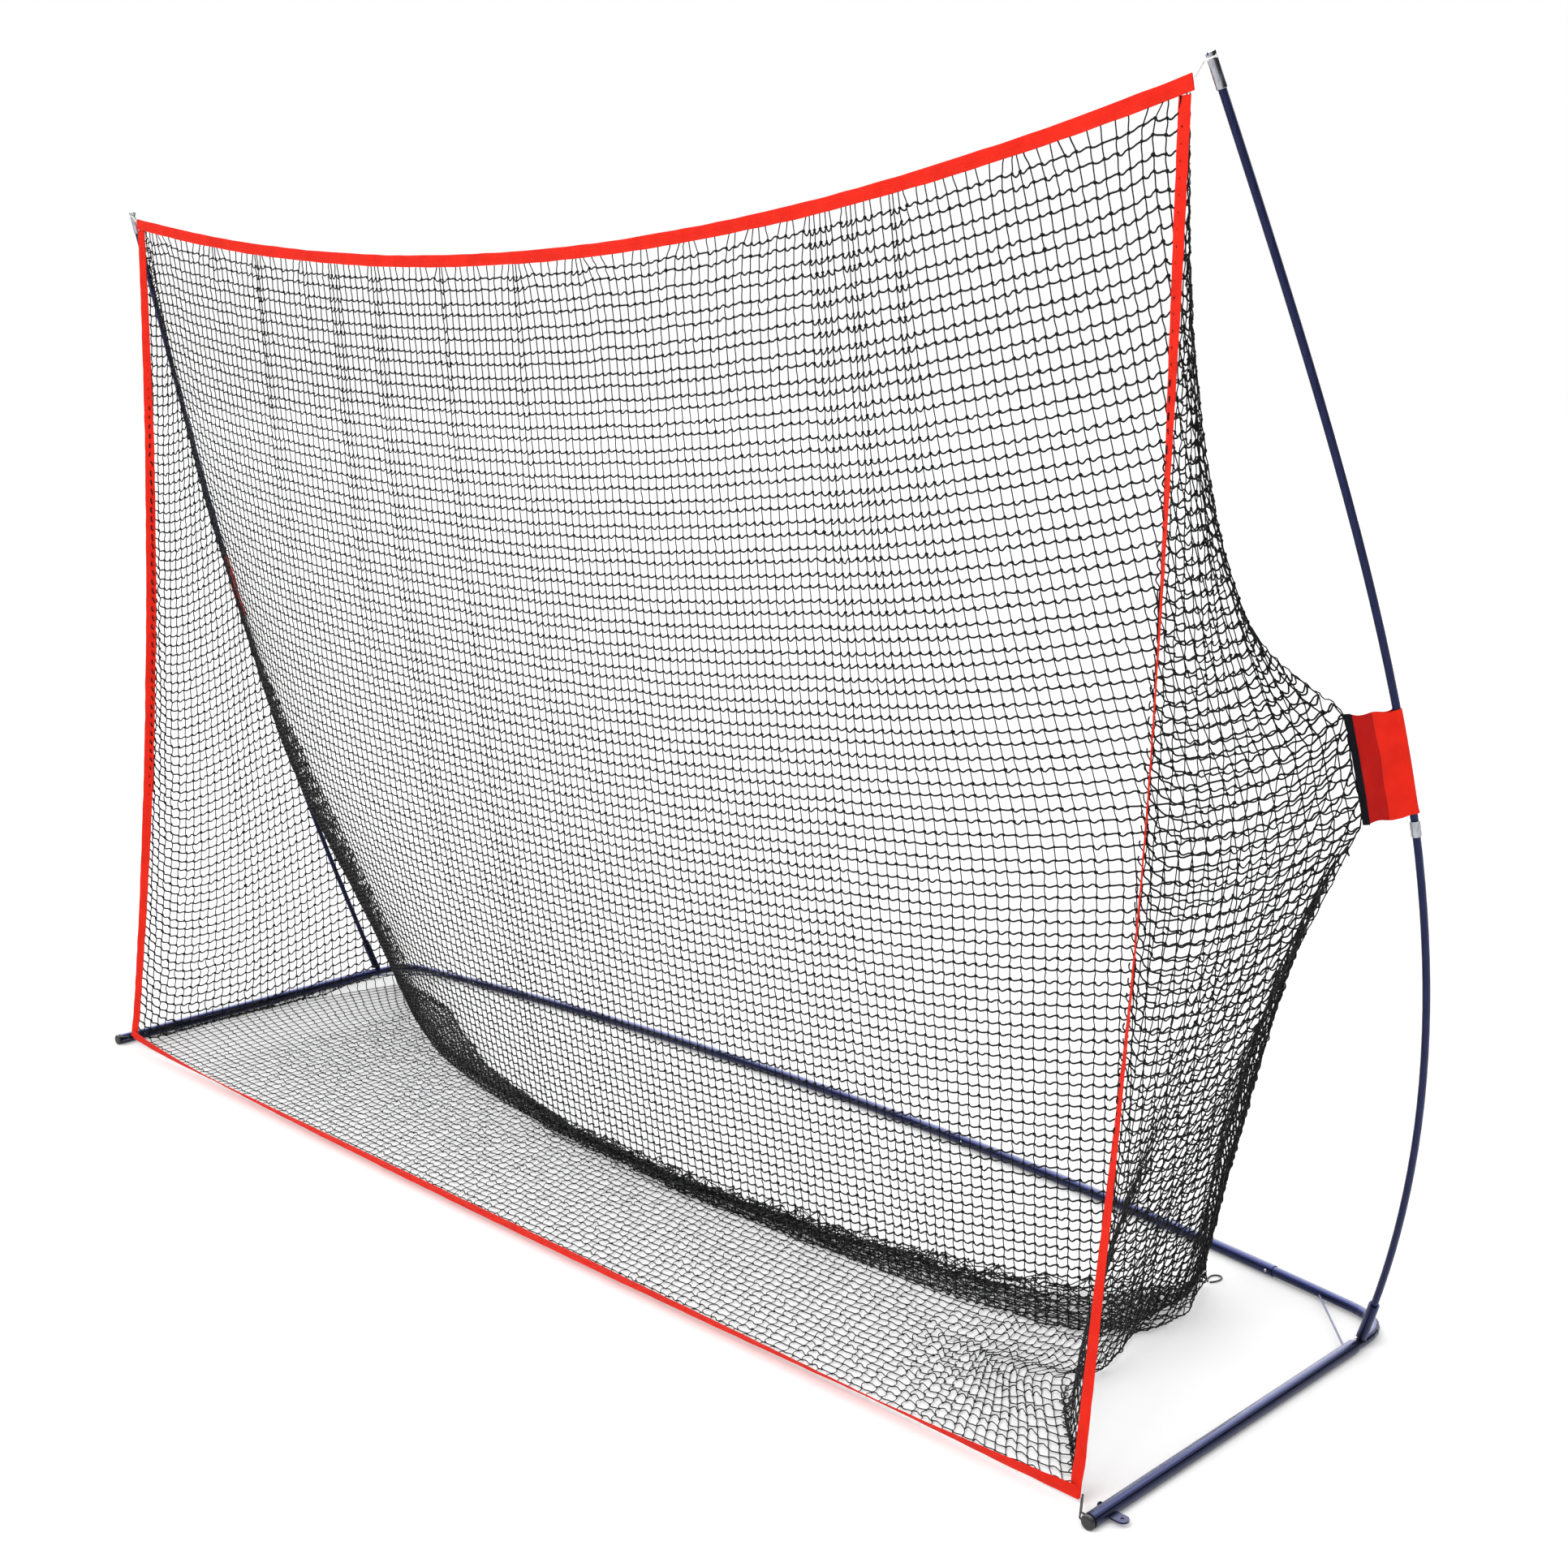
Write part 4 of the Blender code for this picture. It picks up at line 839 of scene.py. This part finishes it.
def build_netting():
    """Every panel, in pieces small enough to handle."""
    back = hang_back()
    rows, cols = back.shape[:2]
    height = np.linspace(0, 1, rows)
    along = np.interp(height, PITCH_AT, BACK_PITCH)[:, None] * np.ones(cols)
    down = back_drop(height, cols)
    everywhere = np.ones(back.shape[:2], bool)
    blocks = itertools.product(itertools.pairwise(BACK_ROW_CUTS), itertools.pairwise(BACK_COL_CUTS))
    for number, ((top, foot), (left, right)) in enumerate(blocks, 1):
        box = (top, foot, left, right)
        replaces = ["net_back_panel"] if number == 5 else []
        sizes = along, down, BACK_SLACK, THICK["back"]
        netting_piece(f"netting_back_{number}", back, everywhere, box, *sizes, replaces)
    for side in SIDES:
        net, valid = hang_side(side)
        box = (0, SIDE_ROWS, 0, SIDE_COLS)
        along, down = np.full(net.shape[:2], SIDE_PITCH), np.full(net.shape[:2], SIDE_DROP)
        sizes = along, down, SIDE_SLACK, THICK[f"side_{side}"]
        netting_piece(f"netting_side_{side}", net, valid, box, *sizes, [f"net_side_panel_{side}"])
    floor = lay_floor()
    everywhere = np.ones(floor.shape[:2], bool)
    along, down = (np.full(floor.shape[:2], size) for size in FLOOR_CELL)
    for number, (left, right) in enumerate(itertools.pairwise(FLOOR_COL_CUTS), 1):
        box = (0, FLOOR_ROWS, left, right)
        replaces = ["net_floor_panel"] if number == 2 else []
        sizes = along, down, (1.0, 1.0), THICK["floor"]
        netting_piece(f"netting_floor_{number}", floor, everywhere, box, *sizes, replaces)


def seam_cords():
    """The thicker cord laced along the hem and the seams."""
    lines = {"hem": hem_line()}
    lines |= {f"base_{side}": smooth_line(BASE_SEAM[side]) for side in SIDES}
    lines |= {f"side_{side}": smooth_line(SEAM[side]) for side in SIDES}
    for name, line in lines.items():
        radius, length = LACING_R[name], length_of(line)
        count = int(length / LACING_STEP)
        points = resample(line, np.linspace(0, 1, count))
        t = np.linspace(0, length, count)
        points[:, 2] += 0.0016 * (1 + np.sin(t * 2 * PI / LACING_TURN))
        points[:, 1] += 0.0020 * np.sin(t * 2 * PI / LACING_SWAY + 1.0)
        points[:, 2] = np.maximum(points[:, 2], radius + 0.0006)
        replaces = ["net_floor_seam"] if name == "hem" else []
        tubes_piece(f"seam_{name}", points[None], radius, 6, NET_YARNS[2], replaces)


# The pole sleeves


def pole_line(side):
    """The bowed pole's centreline, as the CAD part has it."""
    mirror = np.array((SIDES[side], 1, 1))
    tip = np.array((*POLE_TIP_XY, POLE_TIP_Z[side]))
    a, b, c, d = (np.array(p) * mirror for p in (POLE_FOOT, POLE_LOW_PULL, tip + POLE_TOP_PULL, tip))
    t = np.linspace(0, 1, 400)[:, None]
    return (1 - t) ** 3 * a + 3 * (1 - t) ** 2 * t * b + 3 * (1 - t) * t * t * c + t**3 * d


def sleeve_cloth(name, path, shaded_hems, replaces):
    """A closed layer of red cloth on a grid of its middle points, with painted shade: a darker red on the hem
    strips outside two columns.
    """
    rows, cols = path.shape[:2]
    normal = unit(np.cross(np.gradient(path, axis=0), np.gradient(path, axis=1)))
    verts = np.concatenate([(path + normal * half).reshape(-1, 3) for half in (CLOTH / 2, -CLOTH / 2)])
    far = rows * cols
    faces = []
    for i in range(rows - 1):
        for j in range(cols - 1):
            a = i * cols + j
            faces.append((a, a + 1, a + cols + 1, a + cols))
            faces.append((far + a, far + a + cols, far + a + cols + 1, far + a + 1))
    rim = [*range(cols), *[i * cols + cols - 1 for i in range(1, rows)]]
    rim += [(rows - 1) * cols + j for j in range(cols - 2, -1, -1)]
    rim += [i * cols for i in range(rows - 2, 0, -1)]
    faces += [(b, a, far + a, far + b) for a, b in zip(rim, rim[1:] + rim[:1])]
    piece = add_piece(name, verts, faces, RED, replaces, sharp=60)
    piece.data.materials.append(RED_SHADED_HEM)
    for face in piece.data.polygons:
        column = min(v % far % cols for v in face.vertices)
        # Faces on the hem strips take the darker red, which is painted shade.
        face.material_index = int(column < shaded_hems[0] or column >= shaded_hems[1])


def build_sleeve(side):
    """A doubled strip of fabric round the pole, sewn to the netting through a black binding."""
    line = pole_line(side)
    rows = 40
    centres = at_distances(line, np.linspace(SLEEVE_START, SLEEVE_END, rows))
    flap = np.array(SLEEVE_FLAP[side])
    reach = float(np.linalg.norm(flap[:2]))
    toward = unit(np.array((flap[0], flap[1], 0.0)))
    across = np.cross(toward, UP)
    leave = math.radians(38)
    turns = np.linspace(leave, 2 * PI - leave, 25)
    ring = [(SLEEVE_R * math.cos(a), SLEEVE_R * math.sin(a)) for a in turns]
    steps = np.linspace(1, 0, 16)[:-1] ** 0.9
    start, lift = ring[0][0], ring[0][1] - SLEEVE_GAP
    out = [(start + (reach - start) * s, SLEEVE_GAP + lift * (1 - s) ** 2.2) for s in steps]
    section = np.array([*out, *ring, *[(a, -b) for a, b in reversed(out)]])
    share = np.clip(section[:, 0] / reach, 0, 1)
    rise = np.linspace(0, 1, rows)
    folds = wavy(share[None] * 0.9, rise[:, None], [(0.8, 1.3), (1.6, -0.7), (0.5, 2.6), (2.3, 1.9)], 0.0034)
    loose = np.sin(PI * share) ** 0.8 * (section[:, 0] > 0)
    grid = centres[:, None] + toward * section[None, :, :1] + across * section[None, :, 1:]
    grid = grid + UP * flap[2] * share[None, :, None]
    grid += across * (folds * loose)[..., None]
    edge = np.abs(2 * rise - 1) ** 6 * np.sign(2 * rise - 1)
    corner = (1 - smoothstep(-0.1, 0.30, section[:, 0] / reach)) * 0.009
    wave = 0.0030 * np.sin(PI * share) + 0.0018 * np.sin(3.1 * PI * share)
    grid += UP * (-edge[:, None] * (corner[None] * (edge[:, None] < 0) + wave[None]))[..., None]
    # Columns of the sewn-double share of the flap on each side; these hem strips get a darker red as painted
    # shade.
    doubled = int((share[:15] > 1 - SLEEVE_DOUBLED_AND_SHADED).sum())
    shaded_hems = doubled, len(section) - 1 - doubled
    sleeve_cloth(f"sleeve_fabric_{side}", grid, shaded_hems, [f"sleeve_{side}"])
    for number, column in enumerate(shaded_hems):
        face = 1 if number == 0 else -1
        row = grid[:, column] + across * face * CLOTH * 0.2
        outward = np.tile(across * face, (rows, 1))
        stitch_row(f"sleeve_stitches_{side}_{number}", row, outward, np.zeros(rows), faces=(1,), proud=0.0006)
    strip = grid[:, 0] * 0.5 + grid[:, -1] * 0.5
    half = BINDING_WIDTH / 2
    centre = strip + toward * (half - 0.002)
    along = unit(np.gradient(centre, axis=0))
    ripple = wander(rows, (3, 5, 9), 0.0005)
    section = folded_section(half, 0.0030, ripple)
    verts, faces = sweep(centre, np.tile(toward, (rows, 1)), np.cross(along, toward), section)
    stands_for = [f"sleeve_binding_{side}"]
    piece = add_piece(f"sleeve_edge_{side}", verts, faces, WEBBING, stands_for)


# Loops and ties


def loop_round(anchor, centre, axis, radius, clear, spread_by):
    """Out from the anchor, round a post, and back. The legs stay in the groove up to the clear radius."""
    axis = unit(np.array(axis, float))
    toward = square_to(anchor - centre, axis)
    across = np.cross(axis, toward)
    leave = math.acos(min(radius / clear, 1)) + 0.1
    turns = np.linspace(leave, 2 * PI - leave, 25)
    arc = [centre + toward * (radius * math.cos(a)) + across * (radius * math.sin(a)) for a in turns]
    bends = [centre + toward * clear + across * (sign * spread_by) for sign in (1, -1)]
    ends = [anchor + across * (sign * spread_by * 0.7) for sign in (1, -1)]
    return [ends[0], bends[0], *arc, bends[1], ends[1]]


def cord(name, points, radius, mat):
    """A free cord with its real length, standing for the CAD node of its name."""
    points = np.array(points)
    curve = bpy.data.curves.new(name, "CURVE")
    curve.dimensions = "3D"
    curve.bevel_depth = radius
    curve.bevel_resolution = 4
    curve.use_fill_caps = True
    spline = curve.splines.new("POLY")
    spline.points.add(len(points) - 1)
    for target, point in zip(spline.points, points):
        target.co = (*point, 1.0)
    curve.materials.append(mat)
    obj = declare(place_object("cord_" + name, curve), [name])


def build_cords():
    """The net's corner loops and ties, on the routes that the CAD part gives them."""
    for side, sign in SIDES.items():
        line = pole_line(side)
        under_head = length_of(line) - CAP_HEAD
        neck, foot = at_distances(line, [under_head - CAP_NECK / 2, under_head - CAP_NECK - CAP_BODY])
        corner = MOUTH[f"top_{side}"] + np.array((sign * 0.004, 0, -0.006))
        radius = CAP_R - CAP_NECK_CUT + ELASTIC_R + LOOP_SLACK
        path = loop_round(corner, neck, line[-1] - foot, radius, 0.0115, 0.0036)
        cord(f"top_loop_{side}", path, ELASTIC_R, PALE_ELASTIC)
        front = np.array((sign * FRONT_X[side], -HALF_DEPTH + CAP_FLANGE + CAP_GROOVE, FLOOR_Z))
        back = np.array((sign * CORNER_X, SIDE_TUBE_BACK_Y, FLOOR_Z))
        inward = unit(back - front)
        low = MOUTH[f"bottom_{side}"] + np.array((sign * 0.006, -0.006, 0))
        low[2] = 0.022
        radius = CAP_NECK_R + TIE_R + LOOP_SLACK
        groove = front - inward * (CAP_GROOVE / 2)
        path = loop_round(low, groove, inward, radius, 0.0170, 0.0050)
        cord(f"bottom_loop_{side}", path, TIE_R, BLACK_ELASTIC)
    bar_x = np.array((TIE_X - 0.01, TIE_X, TIE_X + 0.01))
    bar_y = BAR_END_Y + BAR_BOW * (1 - (bar_x / BAR_END_X) ** 2)
    bar = np.stack([bar_x, bar_y, np.full(3, FLOOR_Z)], -1)
    radius = ELBOW_R + REAR_TIE_R + LOOP_SLACK
    path = loop_round(np.array(TIE_ANCHOR), bar[1], bar[2] - bar[0], radius, 0.0160, 0.0045)
    cord("rear_tie_l", path, REAR_TIE_R, BLACK_ELASTIC)
    turns = np.linspace(LOOSE_TIE_OPEN, 2 * PI - LOOSE_TIE_OPEN, 33)
    wide = LOOSE_TIE_SIZE[0] * np.sin(turns) * (0.4 + 0.6 * np.sin(turns / 2))
    deep = LOOSE_TIE_SIZE[1] * (1 - np.cos(turns)) / 2
    height = np.full(33, TIE_R + 0.0006)
    loose = np.stack([LOOSE_TIE_AT[0] + wide, LOOSE_TIE_AT[1] + deep, height], -1)
    cord("rear_tie_r", loose, TIE_R, BLACK_ELASTIC)


# Camera, light and floor


def build_camera():
    data = bpy.data.cameras.new("camera")
    data.lens, data.sensor_width, data.clip_end = CAMERA_LENS, 36.0, 200
    camera = place_object("camera", data)
    camera.location = CAMERA_AT
    camera.rotation_euler = (math.radians(90 - CAMERA_DOWN), 0, math.radians(CAMERA_TURN))
    bpy.context.scene.camera = camera


def build_key_light():
    data = bpy.data.lights.new("key", "AREA")
    data.shape, data.size, data.energy = "SQUARE", KEY_SIZE, KEY_POWER
    light = place_object("key", data)
    light.location = KEY_AT
    light.rotation_euler = (Vector(KEY_AIM) - Vector(KEY_AT)).to_track_quat("-Z", "Y").to_euler()


def build_world():
    """Even white light all round, but gloss reflects an overhead softbox behind the net and a dark room."""
    world = bpy.data.worlds.new("studio")
    world.use_nodes = True
    bpy.context.scene.world = world
    bpy.context.scene.view_settings.view_transform = "Standard"
    tree = world.node_tree
    background = tree.nodes["Background"]
    background.inputs["Color"].default_value = (1.0, 1.0, 1.0, 1)
    place = add_node(tree, "TexCoord", {})
    inputs = {0: place.outputs["Generated"], 1: SOFTBOX_TOWARD}
    toward = add_node(tree, "VectorMath", inputs, operation="DOT_PRODUCT")
    span = dict(zip(("From Min", "From Max", "To Min", "To Max"), SOFTBOX_RANGE))
    lobe = add_node(tree, "MapRange", {"Value": toward.outputs["Value"], **span})
    path = add_node(tree, "LightPath", {})
    inputs = {"A": 1.0, "B": lobe.outputs["Result"], "Factor": path.outputs["Is Glossy Ray"]}
    mix = add_node(tree, "Mix", inputs)
    tree.links.new(mix.outputs["Result"], background.inputs["Strength"])


def build_floor():
    mesh = bpy.data.meshes.new("floor")
    corners = [(x * FLOOR_REACH, y * FLOOR_REACH, 0) for x, y in ((-1, -1), (1, -1), (1, 1), (-1, 1))]
    mesh.from_pydata(corners, [], [(0, 1, 2, 3)])
    glow = {"Roughness": 0.9, "Emission Color": (1, 1, 1, 1), "Emission Strength": FLOOR_GLOW}
    mat, tree, shader = new_material("floor_white", glow)
    tone = ramp(tree, noise(tree, 0.8), (0.93, 0.93, 0.93), (0.96, 0.96, 0.96))
    tree.links.new(tone, shader.inputs["Base Color"])
    mesh.materials.append(mat)
    place_object("floor", mesh)


def build():
    build_camera()
    build_world()
    build_key_light()
    build_floor()
    dress_cad_nodes()
    build_tapes()
    for side in SIDES:
        build_sleeve(side)
    build_cords()
    build_netting()
    seam_cords()


build()
